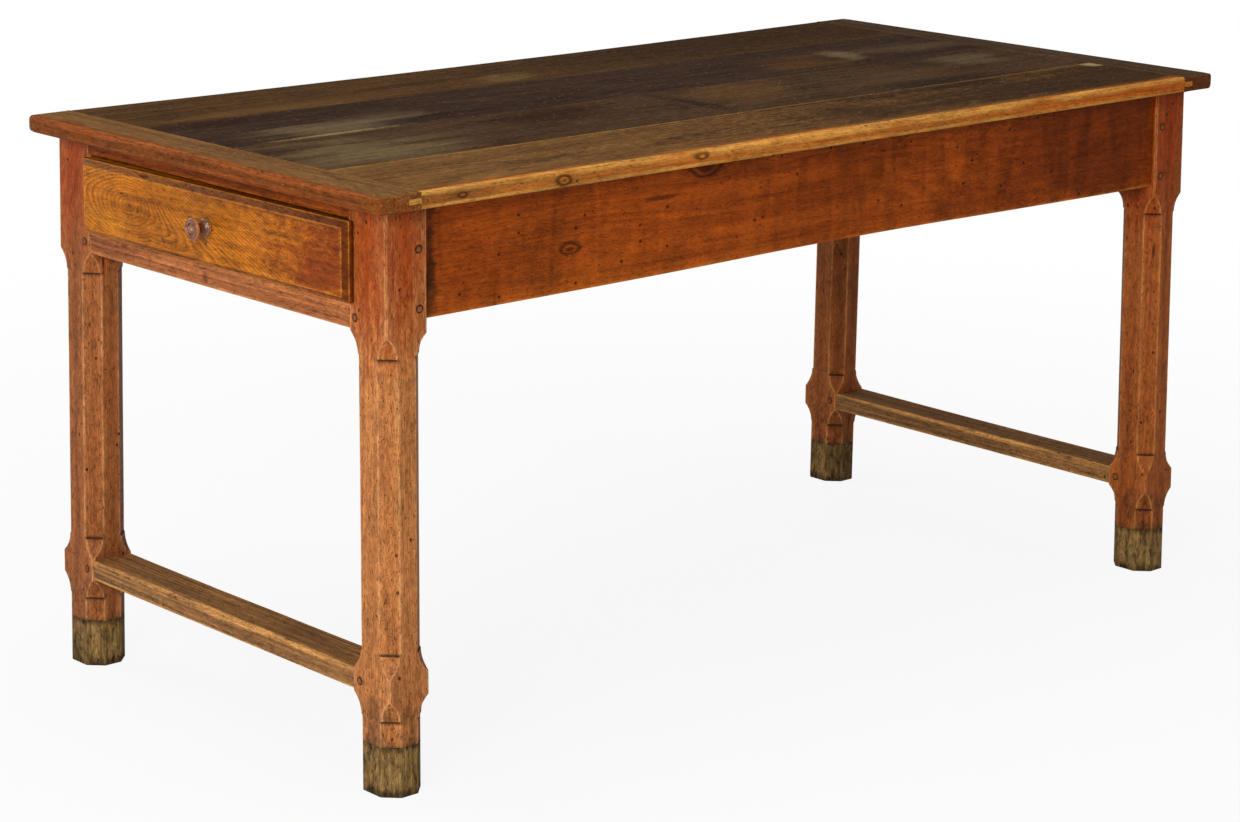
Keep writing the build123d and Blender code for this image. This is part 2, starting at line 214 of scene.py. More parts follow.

# %% [markdown]
# ## Old wood
# A tree is a stack of cones, so a sawn face shows the yearly rings wherever it cuts them. The recipe
# measures the distance from the heart of the log, bends it with slow noise and takes its fraction:
# that gives straight lines, loops or ovals depending on where the heart lies. On top come fine fibres,
# pores, long streaks, blotches of age, worm holes, knots that push the rings aside, and the pale
# arrises that hands and cloths leave, painted paler still as a highlight along each arris. Where the
# mesh asks for it, painted shade darkens the wood. `grain` says which way the piece was cut.

# %% Old wood
def old_wood(name, grain, light, dark, worn_and_lit=(190, 130, 70), heart=(0.0, -0.12), gap=4.0, sway=0.02,
             ripple=0.003, ring=0.55, fibre=0.35, streak=0.4, flame=0.0, blotch=0.35, aged=None, pores=0.4,
             worms=0.25, dash=0.3, knots=(), patches=(), wear_and_highlight=0.75, shift=0.0, gain=(1.0, 1.0, 1.0),
             rough=0.45, shine=0.12, field=None, fleck=None, marks=0.5, mottle=0.3, specks=0.3):
    """One finish for one piece of timber. Lengths are in metres, and the ring gap in millimetres."""
    b = Bench(name)
    x, y, z = b.place()
    along, across, through = {"X": (x, y, z), "Y": (y, x, z), "Z": (z, x, y)}[grain]

    def stretched(a, c, t, extra=0.0):
        """The place, with its own scale along the grain, across it and through it."""
        return b.vector(b.reckon("MULTIPLY_ADD", along, a, shift + extra),
                        b.reckon("MULTIPLY_ADD", across, c, shift * 1.7),
                        b.reckon("MULTIPLY_ADD", through, t, shift * 0.6))

    def distance(centre, sizes):
        """How far from a spot, counted in the spot's own half sizes along X, Y and Z."""
        total = None
        for value, middle, size in zip((x, y, z), centre, sizes):
            step = b.reckon("DIVIDE", b.minus(value, middle), size)
            square = b.times(step, step)
            total = square if total is None else b.plus(total, square)
        return b.reckon("SQRT", total)

    slow = b.minus(b.cloud(stretched(1.3, 5, 5), 1.0), 0.5)
    quick = b.minus(b.cloud(stretched(7, 32, 32, 3.0), 2.0), 0.5)
    if field:
        radius = field(b, x, y, z)
    else:
        measure = b.nodes.new("ShaderNodeVectorMath")
        measure.operation = "LENGTH"
        b.put(measure.inputs[0], b.vector(0, b.minus(across, heart[0]), b.minus(through, heart[1])))
        radius = measure.outputs["Value"]
    radius = b.reckon("MULTIPLY_ADD", slow, sway, radius)
    radius = b.reckon("MULTIPLY_ADD", quick, ripple, radius)
    knot_dark = 0.0
    for centre, size in knots:
        reach = {"X": (2.2, 1, 1), "Y": (1, 2.2, 1), "Z": (1, 1, 2.2)}[grain]
        far = distance(centre, [size * r for r in reach])
        push = b.ease(far, 0.0, 3.0, size * 1.6, 0.0)
        radius = b.plus(radius, push)
        uneven = b.reckon("MULTIPLY_ADD", quick, 4.0, far)
        rim = b.times(b.ease(uneven, 0.45, 0.75), b.ease(uneven, 0.85, 1.35, 1.0, 0.0))
        eye = b.larger(b.ease(uneven, 0.1, 0.35, 0.9, 0.0), rim)
        knot_dark = b.larger(knot_dark, eye)
    turns = b.reckon("DIVIDE", radius, gap * MM)
    year = b.reckon("FRACT", turns)
    late = b.times(b.ease(year, 0.25, 0.93), b.ease(year, 0.95, 1.0, 1.0, 0.0))
    strength = b.ease(b.cloud(b.vector(b.times(turns, 0.37), shift, 0.0), 2.0), 0.3, 0.7, 0.35, 1.0)
    late = b.times(late, strength)
    fibres = b.cloud(stretched(22, 1100, 1100, 7.0), 3.0, 0.6)
    grainy = b.cloud(stretched(5, 260, 260, 1.0), 3.0, 0.55)
    streaks = b.cloud(stretched(1.6, 48, 48, 5.0), 4.0, 0.6, 0.3)
    blotches = b.cloud(stretched(5, 12, 12, 9.0), 5.0, 0.62, 0.4)
    patchy = b.cloud(stretched(60, 150, 150, 11.0), 4.0, 0.65, 0.5)
    ragged = b.plus(b.swing(blotches, 2.4), b.plus(b.swing(streaks, 1.6), b.swing(patchy, 1.4)))

    colour = b.mix(b.times(late, ring), tone(*light), tone(*dark))
    colour = b.mix(b.times(b.ease(streaks, 0.46, 0.72), streak), colour, tone(*dark))
    colour = b.mix(b.times(b.ease(blotches, 0.45, 0.75), blotch), colour, tone(*(aged or dark)))
    shades = b.plus(b.swing(fibres, fibre * 4), b.swing(grainy, fibre * 5))
    if flame:
        waves = b.cloud(stretched(26, 7, 7, 2.0), 2.0, 0.5, 0.9)
        shades = b.plus(shades, b.swing(waves, flame * 3))
    pore = b.ease(b.cloud(stretched(70, 1900, 1900, 4.0), 1.0), 0.66, 0.74)
    shades = b.minus(shades, b.times(pore, pores * 0.5))
    shades = b.plus(shades, b.swing(patchy, mottle * 4))
    scratch = b.ease(b.cloud(stretched(130, 1150, 1150, 13.0), 2.0, 0.6), 0.54, 0.66)
    scratched = b.times(scratch, b.ease(blotches, 0.3, 0.6, 0.4, 1.0))
    shades = b.minus(shades, b.times(scratched, marks))
    shades = b.larger(b.plus(shades, 1.0), 0.05)
    for centre, sizes, patch_colour, amount in patches:
        far = b.plus(distance(centre, sizes), ragged)
        colour = b.mix(b.ease(far, 0.25, 1.35, amount, 0.0), colour, tone(*patch_colour))
    if fleck:
        near, pick = b.cells(stretched(60, 240, 240, 8.0))
        pale = b.times(b.ease(near, 0.08, 0.24, 1.0, 0.0), b.ease(pick, 0.62, 0.85))
        colour = b.mix(b.times(pale, 0.6), colour, tone(*fleck))
    # Pale arrises: use, and a painted highlight along each arris.
    if wear_and_highlight:
        unevenly = b.ease(b.cloud(stretched(16, 60, 60, 6.0), 3.0), 0.25, 0.6, 0.25, 1.0)
        rubbed_and_lit = b.times(b.reading("wear_and_highlight"), unevenly)
        colour = b.mix(b.times(rubbed_and_lit, wear_and_highlight), colour, tone(*worn_and_lit))
    colour = b.mix(1.0, colour, b.vector(shades, shades, shades), "MULTIPLY")

    # Each kind of dark spot: cells per metre, its stretch along the grain, its share of cells, its depth
    kinds = ((190, 0.5, specks * 0.7, 0.7), (230, 1.0, specks * 0.8, 0.65),
             (80, 0.8, worms * 0.2, 1.0), (70, 0.2, dash * 0.35, 0.8))
    pits = 0.0
    for size, long, share, dark_pit in kinds:
        if share:
            near, pick = b.cells(stretched(size * long, size, size, size))
            spot = b.times(b.ease(near, 0.09, 0.2, dark_pit, 0.0), b.ease(pick, 1 - share, 1.01 - share))
            pits = b.larger(pits, spot)
    colour = b.mix(b.times(pits, 0.85), colour, tone(38, 18, 8))
    if knots:
        colour = b.mix(b.times(knot_dark, 0.7), colour, tone(48, 22, 10))
    # Painted shade read from the mesh: under the chamfer ledges, inside the cleats' grooves, in the ring round
    # each peg and on the shaded bevels and lip of the drawer front; the bottom ends of the posts and the knob's
    # crevices are painted darker too.
    colour = b.mix(b.times(b.reading("shade_and_dirt"), 0.85), colour, tone(40, 22, 13))
    colour = b.mix(1.0, colour, gain, "MULTIPLY")
    b.put(b.shader.inputs["Base Color"], colour)
    dull = b.plus(b.times(blotches, 0.6), b.times(fibres, 0.4))
    b.put(b.shader.inputs["Roughness"], b.ease(dull, 0.3, 0.7, rough - 0.08, rough + 0.12))
    b.shader.inputs["Specular IOR Level"].default_value = shine
    raised = b.plus(b.times(grainy, 1.2), b.times(patchy, 1.5))
    sunk = b.plus(b.times(pits, 3.0), b.plus(scratch, b.times(late, 0.3)))
    b.bump(b.minus(raised, sunk), 0.0004)
    return b.material


# %% [markdown]
# ## Sections and rings
# A worn board is its own section pushed along its length. Each station is one ring of points, so the
# section can change on the way: arrises get rounder where hands rub, a face dips, an edge bows. Blender
# could bevel a cube instead, but then every arris would be equally new. Each point also stores
# `wear_and_highlight`, which is 1 on an arris, pale from use and painted as a highlight, and
# `shade_and_dirt`, which is 1 where painted shade falls under ledges, inside grooves and on shaded
# sides, and where an end or a crevice is painted darker.

# %% A worn section
ARC_STEPS = 4
WORN_ROUND = 1.5 * MM


def wander(middle, swing, *place):
    """A number that wanders slowly about its middle from place to place."""
    return middle + swing * noise.noise(Vector(place))


def flat_shares(length, inner):
    """Places along a flat side, closer together beside its two arrises, each with its pale share for use and
    painted highlight.
    """
    close, soft = min(1.6 * MM, length * 0.15), min(4.5 * MM, length * 0.32)
    places = [(close, 0.4), (soft, 0.05)]
    places += [(soft + (length - 2 * soft) * k / (inner + 1), 0.0) for k in range(1, inner + 1)]
    return places + [(length - soft, 0.05), (length - close, 0.4)]


def section(half_wide, half_tall, radii, inner=(8, 1), slot=None):
    """A section with four rounded corners. Round it: u, v, outward u, outward v, pale share for use and painted
    highlight, painted shade, radius.

    slot, if there is one, is (side, low, high, depth) of a groove in one side.
    """
    corners = [(-1, -1), (1, -1), (1, 1), (-1, 1)]
    ring = []
    for k, (su, sv) in enumerate(corners):
        r = radii[k]
        for step in range(ARC_STEPS + 1):
            angle = math.pi + math.pi / 2 * (k + step / ARC_STEPS)
            c, s = math.cos(angle), math.sin(angle)
            worn_and_lit = min(1.0, r / WORN_ROUND)
            ring.append((su * (half_wide - r) + r * c, sv * (half_tall - r) + r * s, c, s, worn_and_lit, 0.0, r))
        u, v, nu, nv = ring[-1][:4]
        after = radii[(k + 1) % 4]
        length = 2 * (half_wide if k % 2 == 0 else half_tall) - r - after
        du, dv = -nv, nu
        if slot and k == slot[0]:
            _, low, high, deep = slot
            mouth = [(low, 0), (low, deep), (high, deep), (high, 0)]
            if dv < 0:
                mouth.reverse()
            # Inside the groove every point carries painted shade (1.0).
            for level, inward in mouth:
                ring.append((u - nu * inward, level, 0.0 if inward else nu, 0.0, 0.0, 1.0, r))
            continue
        for place, worn_and_lit in flat_shares(length, inner[k % 2]):
            ring.append((u + du * place, v + dv * place, nu, nv, worn_and_lit, 0.0, r + (after - r) * place / length))
    return ring


# %% Plank: a section swept along its grain
ORDER = {"X": (0, 1, 2), "Y": (1, 0, 2), "Z": (2, 0, 1)}


def stations(start, stop, spacing, end_arris):
    """Places along a piece, with how far the section draws in at its two ends, which use has rounded."""
    count = max(2, round((stop - start) / spacing))
    inside = [(start + (stop - start) * k / count, 0.0) for k in range(1, count)]
    ends = [(0.0, 1.0), (0.12, 0.5), (0.5, 0.12), (1.0, 0.0)]
    first = [(start + end_arris * t, end_arris * inset) for t, inset in ends]
    last = [(stop - end_arris * t, end_arris * inset) for t, inset in reversed(ends)]
    return first + inside + last


def plank(low, high, along, radii, spacing=0.02, end_arris=0.0008, waviness=0.0003, shape=None,
          inner=(8, 1), slot=None, seed=0.0):
    """Rings of a board rounded by use, between two corners. radii may change along the piece; shape moves a
    point.
    """
    t_axis, u_axis, v_axis = ORDER[along]
    half_u, half_v = (high[u_axis] - low[u_axis]) / 2, (high[v_axis] - low[v_axis]) / 2
    mid_u, mid_v = (high[u_axis] + low[u_axis]) / 2, (high[v_axis] + low[v_axis]) / 2
    rings = []
    for t, inset in stations(low[t_axis], high[t_axis], spacing, end_arris):
        ring = []
        rounds = radii(t) if callable(radii) else radii
        # The drawn-in ends are painted fully pale, for use and as a highlight.
        rubbed_and_lit = 1.0 if inset > 0.2 * MM else 0.0
        for u, v, nu, nv, worn_and_lit, shade_and_dirt_share, radius in section(half_u, half_v, rounds, inner, slot):
            dip = wander(0.5, 0.5, t * 4 + seed, (mid_u + u) * 18, (mid_v + v) * 18 + seed)
            deep = min(inset + waviness * dip, 0.7 * radius)
            place = [0.0, 0.0, 0.0]
            place[t_axis] = t
            place[u_axis], place[v_axis] = mid_u + u - nu * deep, mid_v + v - nv * deep
            if shape:
                place = shape(*place)
            ring.append((Vector(place), max(worn_and_lit, rubbed_and_lit), 0.0 if inset else shade_and_dirt_share))
        rings.append(ring)
    return rings


# %% [markdown]
# ## From rings to a piece
# The rings are joined by four-sided faces, and triangles close each end. Sharp corners stay sharp and the
# rest is shaded smooth, with normals weighted by face size so that large faces look flat.

# %% Piece: rings joined into one object
SHARP = math.radians(48)


def add_shell(bm, rings, wear_and_highlight_layer, shade_and_dirt_layer):
    """One closed skin of rings in a mesh that is being built."""
    rows = []
    for ring in rings:
        row = []
        for place, worn_and_lit, shade_and_dirt_share in ring:
            point = bm.verts.new(place)
            point[wear_and_highlight_layer], point[shade_and_dirt_layer] = worn_and_lit, shade_and_dirt_share
            row.append(point)
        rows.append(row)
    count = len(rows[0])
    for lower, upper in zip(rows, rows[1:]):
        for i in range(count):
            j = (i + 1) % count
            bm.faces.new((lower[i], lower[j], upper[j], upper[i]))
    caps = [bm.faces.new(rows[0][::-1]), bm.faces.new(rows[-1])]
    for cap in caps:
        cap.normal_update()
    bmesh.ops.triangulate(bm, faces=caps, ngon_method="EAR_CLIP")


def piece(name, shells, node, finish, body="frame"):
    """An object from one or more closed skins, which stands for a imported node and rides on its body."""
    bm = bmesh.new()
    wear_and_highlight_layer, shade_and_dirt_layer = bm.verts.layers.float.new("wear_and_highlight"), bm.verts.layers.float.new("shade_and_dirt")
    for rings in shells:
        add_shell(bm, rings, wear_and_highlight_layer, shade_and_dirt_layer)
    bmesh.ops.recalc_face_normals(bm, faces=bm.faces)
    for face in bm.faces:
        face.smooth = True
    for edge in bm.edges:
        edge.smooth = len(edge.link_faces) == 2 and edge.calc_face_angle() < SHARP
    mesh = bpy.data.meshes.new(name)
    bm.to_mesh(mesh)
    bm.free()
    obj = bpy.data.objects.new(name, mesh)
    bpy.context.scene.collection.objects.link(obj)
    normals = obj.modifiers.new("even shading", "WEIGHTED_NORMAL")
    normals.keep_sharp = True
    mesh.materials.append(finish)
    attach(obj, body)
    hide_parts(node)


# %% [markdown]
# ## The boarded top
# Four boards lie side by side between two cleats. Years of scrubbing have dished them, most of all along
# the far edge, and only the outer long edges are rounded. Where the boards meet, each arris is barely
# broken, so the joints read as fine lines. Each board comes from another part of the log, so each one
# has its own finish: hazy gold in front, nearly black in the middle, grey-brown behind.

# %% Finishes of the top
def on_top(*spots):
    """Patches seen from above: place and half size along X and Y, then the colour and its strength."""
    return [((x, y, 0.76), (wide, deep, 0.1), colour, amount) for x, y, wide, deep, colour, amount in spots]


scrubbed = {"ring": 0.35, "fibre": 0.25, "streak": 0.5, "marks": 0.35, "specks": 0.15, "shine": 0.03,
            "fleck": (215, 190, 150)}
gold_edge = [((0.1, -0.3785, 0.748), (1.15, 0.022, 0.03), (240, 140, 56), 0.85),
             ((0.6, -0.378, 0.748), (0.35, 0.010, 0.03), (230, 112, 30), 0.6)]
edge_knots = [((-0.652, -0.378, 0.749), 0.004), ((-0.491, -0.378, 0.747), 0.006),
              ((-0.258, -0.378, 0.750), 0.007)]
top_finishes = {
    "near": old_wood(
        "near_board_wood", "X", (150, 108, 62), (88, 56, 30), worn_and_lit=(255, 190, 96), heart=(-0.30, 0.55), gap=4.2,
        sway=0.05, ripple=0.004, ring=0.5, fibre=0.25, streak=0.5, blotch=0.3, aged=(78, 56, 40), wear_and_highlight=0.75,
        marks=0.35, specks=0.2, shift=3.1, worms=0.2, dash=0.25, shine=0.03, fleck=(200, 170, 120),
        gain=(0.64, 0.60, 0.54), knots=edge_knots,
        patches=on_top((0.75, -0.29, 0.95, 0.2, (60, 42, 28), 0.85),
                       (0.37, -0.2, 0.2, 0.03, (50, 38, 32), 0.6),
                       (0.705, -0.20, 0.02, 0.025, (235, 225, 160), 0.6)) + gold_edge),
    "mid_near": old_wood(
        "second_board_wood", "X", (112, 80, 54), (66, 44, 32), heart=(-0.1, 0.50), gap=5.5, sway=0.08,
        blotch=0.5, aged=(56, 44, 40), shift=8.4, wear_and_highlight=0.3, worn_and_lit=(150, 112, 76), gain=(0.46, 0.46, 0.42),
        patches=on_top((-0.60, -0.115, 0.13, 0.09, (176, 148, 106), 0.5),
                       (-0.24, -0.05, 0.1, 0.055, (62, 30, 18), 0.65),
                       (-0.01, -0.10, 0.018, 0.09, (34, 28, 30), 0.6),
                       (0.13, -0.07, 0.12, 0.07, (140, 98, 54), 0.6),
                       (0.38, -0.09, 0.18, 0.05, (124, 92, 56), 0.4),
                       (0.58, -0.05, 0.07, 0.05, (160, 138, 104), 0.45),
                       (0.40, -0.19, 0.15, 0.035, (40, 32, 32), 0.65)), **scrubbed),
    "mid_far": old_wood(
        "third_board_wood", "X", (92, 66, 50), (50, 34, 28), heart=(0.1, 0.60), gap=5.0, sway=0.08,
        blotch=0.5, aged=(46, 38, 38), shift=14.2, wear_and_highlight=0.3, worn_and_lit=(140, 108, 76), gain=(0.47, 0.46, 0.43),
        patches=on_top((-0.50, 0.045, 0.12, 0.055, (176, 150, 110), 0.5),
                       (-0.56, 0.008, 0.16, 0.006, (230, 190, 130), 0.6),
                       (0.37, 0.075, 0.1, 0.06, (136, 94, 44), 0.6),
                       (0.48, 0.085, 0.03, 0.05, (190, 168, 120), 0.5),
                       (0.62, 0.08, 0.13, 0.035, (140, 112, 80), 0.45),
                       (-0.62, 0.17, 0.12, 0.03, (64, 34, 22), 0.6)), **scrubbed),
    "far": old_wood(
        "far_board_wood", "X", (136, 100, 62), (78, 54, 36), heart=(0.3, 0.55), gap=4.5, sway=0.06,
        blotch=0.45, aged=(66, 52, 42), shift=21.7, wear_and_highlight=0.4, worn_and_lit=(180, 136, 84), gain=(0.36, 0.32, 0.26),
        patches=on_top((-0.06, 0.245, 0.055, 0.035, (200, 168, 112), 0.5),
                       (-0.48, 0.215, 0.3, 0.02, (176, 132, 80), 0.5),
                       (0.45, 0.31, 0.5, 0.12, (72, 54, 42), 0.6)), **scrubbed),
}
print("top finishes:", ", ".join(top_finishes))

# %% Boards and their tongues
top_surface, underside = cad_high.z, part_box("top_board_near")[0].z
cleat_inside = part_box("cleat_drawer_end")[1].x
TONGUE_LOW, TONGUE_HIGH, TONGUE_LONG = 745 * MM, 753 * MM, 19 * MM
ROUNDED, BROKEN, EXTRA_RUB = 4.2 * MM, 0.5 * MM, 4.5 * MM


def dished(x, y, z):
    """Lower a point of the top where scrubbing has worn it, most along the far edge."""
    if z < top_surface - 6 * MM:
        return x, y, z
    span = max(0.0, 1 - (x / cleat_inside) ** 2)
    far = max(0.0, y / cad_high.y)
    ripples = wander(0.5, 0.5, x * 3.1, y * 7.3, 4.2)
    return x, y, z - span * (2.8 * MM * far ** 1.6 + 0.8 * MM * ripples)


for name in ("near", "mid_near", "mid_far", "far"):
    low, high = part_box("top_board_" + name)
    near_r = ROUNDED if name == "near" else BROKEN
    middle_rub = EXTRA_RUB if name == "near" else 0.0
    far_r = ROUNDED if name == "far" else BROKEN
    body_low, body_high = Vector((cleat_inside, low.y, underside)), Vector((-cleat_inside, high.y, top_surface))

    def arrises(t, near_r=near_r, far_r=far_r, middle_rub=middle_rub):
        """Radii of the four arrises, rounded unevenly by use above and most in the middle of the near edge."""
        rub = wander(1, 0.3, t * 9, 2.0, 0.0)
        return near_r, far_r, far_r * rub, (near_r + middle_rub * max(0.0, 1 - (t / cleat_inside) ** 2)) * rub

    board = plank(body_low, body_high, "X", arrises, shape=dished, inner=(10, 2), waviness=0.0004,
                  seed=low.y * 10, end_arris=0.0005)
    shells = [board]
    for end in (-1, 1):
        reach = sorted((end * -cleat_inside, end * (-cleat_inside + TONGUE_LONG)))
        tongue_low = Vector((reach[0], low.y + 0.4 * MM, TONGUE_LOW))
        tongue_high = Vector((reach[1], high.y - 0.4 * MM, TONGUE_HIGH))
        shells.append(plank(tongue_low, tongue_high, "Y", (0.4 * MM,) * 4, spacing=0.1, inner=(0, 0)))
    piece("board_" + name, shells, "top_board_" + name, top_finishes[name])
print("four boards between the cleats, dished up to 5 mm")

# %% [markdown]
# A cleat closes each end of the top. Its long groove takes the boards' tongues and runs right through, so
# the tongue shows at the cleat's ends. The outer edge is a bullnose and its two corners are rounded.

# %% Cleats
def cleat_wood(name, light, dark, shift, gain):
    """End grain never shows on a cleat's long faces, so its grain runs across the table."""
    return old_wood(name, "Y", light, dark, worn_and_lit=(160, 82, 32), heart=(-0.6, 0.4), sway=0.03, ring=0.4,
                    fibre=0.3, streak=0.5, blotch=0.4, aged=(84, 60, 42), shift=shift, shine=0.04,
                    fleck=(210, 180, 140), wear_and_highlight=0.7, gain=gain,
                    patches=[((-0.79, 0, 0.748), (0.022, 3.0, 0.03), (122, 60, 16), 0.8)])


cleat_finishes = {
    "drawer_end": cleat_wood("cleat_wood", (140, 102, 62), (88, 58, 34), 5.5, (0.82, 0.76, 0.62)),
    "plain_end": cleat_wood("dark_cleat_wood", (110, 84, 58), (66, 46, 32), 9.5, (0.5, 0.48, 0.46)),
}
PLAN_CORNER, BULLNOSE = 10 * MM, 6.3 * MM
for name, end in (("drawer_end", -1), ("plain_end", 1)):
    low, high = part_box("cleat_" + name)
    inner_side = 1 if end < 0 else 3
    radii = (BULLNOSE, BROKEN, BROKEN, BULLNOSE) if end < 0 else (BROKEN, BULLNOSE, BULLNOSE, BROKEN)
    middle_z = (low.z + high.z) / 2
    groove = (inner_side, TONGUE_LOW - middle_z - 0.5 * MM, TONGUE_HIGH - middle_z + 0.4 * MM,
              TONGUE_LONG + 0.5 * MM)

    def round_in_plan(x, y, z, end=end, low=low, high=high):
        """Draw the outer edge in at both ends, on a quarter circle, and dish the top a little."""
        short = PLAN_CORNER - min(y - low.y, high.y - y)
        edge_x = low.x if end < 0 else high.x
        if short > 0:
            draw = PLAN_CORNER - math.sqrt(max(0.0, PLAN_CORNER ** 2 - short ** 2))
            share = max(0.0, 1 - abs(x - edge_x) / (30 * MM))
            x -= end * draw * share
        return dished(x, y, z)

    rings = plank(low, high, "Y", radii, shape=round_in_plan, inner=(6, 1), end_arris=0.0025,
                  waviness=0.0005, spacing=0.015, slot=groove, seed=end * 3.0)
    piece("end_cleat_" + name, [rings], "cleat_" + name, cleat_finishes[name])
print("cleats", round((high - low).y * 1000), "mm long")

# %% [markdown]
# ## Legs and spliced feet
# Each post is square at the top and at the stretcher, with stopped chamfers between: the chamfer steps
# out to a shallow ledge and runs off in a hollow, which draws an arch or a shield on the corner. One
# function gives the chamfer's depth at any height, and rings of eight rubbed corners follow it.

# %% The chamfer's depth at a height
ARCH_TIP, SHIELD_TIP, LOWER_TIP, STOP = 582.5 * MM, 154.5 * MM, 127 * MM, 28 * MM
STOP_STEPS = 18
CHAMFER = 18.6 * MM / math.sqrt(2)
STOP_DEPTH = CHAMFER - 1.5 * MM
HOLLOW = (STOP ** 2 + STOP_DEPTH ** 2) / (2 * STOP_DEPTH)
SQUARE = 1.3 * MM


def hollow(height):
    """Depth of the stop's hollow at a height above its ledge."""
    return STOP_DEPTH - HOLLOW + math.sqrt(HOLLOW ** 2 - height ** 2)


def post_stations():
    """Heights down a post with the depth of its corners there, and how much painted shade darkens the chamfer
    beside a ledge.
    """
    rows = []
    for k in range(15, -1, -1):
        rows.append((ARCH_TIP + 0.5 * MM + k * 10 * MM, SQUARE, 0.0))
    for tip, way, low_end in ((ARCH_TIP, -1, SHIELD_TIP + STOP), (SHIELD_TIP, 1, None), (LOWER_TIP, -1, 0.0)):
        ledge = tip + way * STOP
        steps = [(tip + way * STOP * k / STOP_STEPS, max(SQUARE, hollow(STOP * (1 - k / STOP_STEPS))), 0.0)
                 for k in range(STOP_STEPS + 1)]
        # Painted shadow: the chamfer beside each ledge gets a dark band about 3 mm wide, where the ledge casts
        # its shade.
        steps[-1] = (ledge - way * 0.25 * MM, STOP_DEPTH, 0.15)
        steps.append((ledge, CHAMFER - 0.25 * MM, 1.0))
        for past, shade_and_dirt_share in ((2.0, 1.0), (3.4, 0.4), (6, 0.0)):
            steps.append((ledge + way * past * MM, CHAMFER, shade_and_dirt_share))
        if way > 0:
            steps.reverse()
        rows += steps
        if low_end is not None:
            start, stop = ledge - 12 * MM, low_end + 12 * MM if low_end else 0.0
            count = max(1, round((start - stop) / (9 * MM)))
            rows += [(start + (stop - start) * k / count, CHAMFER, 0.0) for k in range(count + 1)]
        elif tip == SHIELD_TIP:
            rows += [(z, SQUARE, 0.0) for z in (tip - 5 * MM, (tip + LOWER_TIP) / 2, LOWER_TIP + 5 * MM)]
    return rows


post_rows = post_stations()
print(len(post_rows), "rings in a post")

# %% Rings of a post
leg_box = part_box("leg_plain_far")
LEG_TOP = leg_box[1].z
FOOT_JOINT = leg_box[0].z
LEG_X, LEG_Y, LEAN_X, LEAN_Y = 63.5 * MM, 72.5 * MM, 9 * MM, 12.5 * MM
OUTER_X, OUTER_Y = 749.5 * MM, 352 * MM


def post_ring(end, side, z, depth, shade_and_dirt_share, draw=0.0):
    """Eight corners of a leaning post, rounded by use, at one height."""
    lean = 1 - z / LEG_TOP
    middle = Vector((end * (OUTER_X - LEG_X / 2 + LEAN_X * lean),
                     side * (OUTER_Y - LEG_Y / 2 + LEAN_Y * lean), z))
    a, c, w = LEG_X / 2 - draw, LEG_Y / 2 - draw, depth * math.sqrt(2)
    corners = [(a, -c + w), (a, c - w), (a - w, c), (-a + w, c),
               (-a, c - w), (-a, -c + w), (-a + w, -c), (a - w, -c)]
    ring = []
    for k, corner in enumerate(corners):
        here, after, before = (Vector((*corners[i % 8], 0)) for i in (k, k + 1, k - 1))
        onward, back = (after - here), (before - here)
        reach = min(0.9 * MM, onward.length * 0.3, back.length * 0.3)
        onward_step, back_step = onward.normalized() * reach, back.normalized() * reach
        rub = wander(0.6, 0.4, z * 25 + k * 7.7, end * 5.0, side * 9.0)
        # Painted shade of a ledge and the darker post ends: full on the chamfer points, 0.7 on the corner
        # points.
        chamfer_shade_and_dirt = shade_and_dirt_share if k % 2 else 0.0
        ring.append((here + back_step, 1.0, shade_and_dirt_share * 0.7))
        ring.append((here + (onward_step + back_step) * 0.3 * rub, 1.0, shade_and_dirt_share * 0.7))
        ring.append((here + onward_step, 1.0, shade_and_dirt_share * 0.7))
        # The pale band beside each arris is painted highlight as well as use.
        close = min(2.2 * MM, onward.length * 0.36)
        for far in (close, onward.length / 2, onward.length - close):
            worn_and_lit = 0.0 if far == onward.length / 2 else 0.25
            ring.append((here + onward.normalized() * far, worn_and_lit, chamfer_shade_and_dirt))
    out = []
    for place, worn_and_lit, shade_and_dirt_here in ring:
        dip = 0.28 * MM * wander(0.5, 0.5, place.x * 30 + end, place.y * 30 + side, z * 7)
        out.append((middle + place - place.normalized() * dip, worn_and_lit, shade_and_dirt_here))
    return out


def post(end, side, top, bottom):
    """The rings of a post between two heights, drawn in slightly at its cut ends."""
    arris = 0.5 * MM
    rows = [(z, depth, shade_and_dirt_share) for z, depth, shade_and_dirt_share in post_rows if bottom + arris * 2 < z < top - arris * 2]
    top_depth, low_depth = rows[0][1], rows[-1][1]
    ends_top = [(top, top_depth, 0.0, arris), (top - arris, top_depth, 0.0, 0.0)]
    # The bottom end of each post is painted darker.
    ends_low = [(bottom + arris, low_depth, 0.3, 0.0), (bottom, low_depth, 0.5, arris)]
    rows = ends_top + [(z, d, g, 0.0) for z, d, g in rows] + ends_low
    return [post_ring(end, side, z, depth, shade_and_dirt_share, draw) for z, depth, shade_and_dirt_share, draw in rows]


# %% [markdown]
# The legs are a warm fruitwood with short dark dashes along the grain. Just above the splice the old feet
# stood in wet straw and scrubbing water, so a dark tide mark rises unevenly. The feet themselves are
# later, unpolished and greenish grey-brown.

# %% Finishes of the legs and feet
CORNERS = {"drawer_near": (-1, -1), "drawer_far": (-1, 1), "plain_near": (1, -1), "plain_far": (1, 1)}
FOOT_X, FOOT_Y = 0.7267, 0.3283


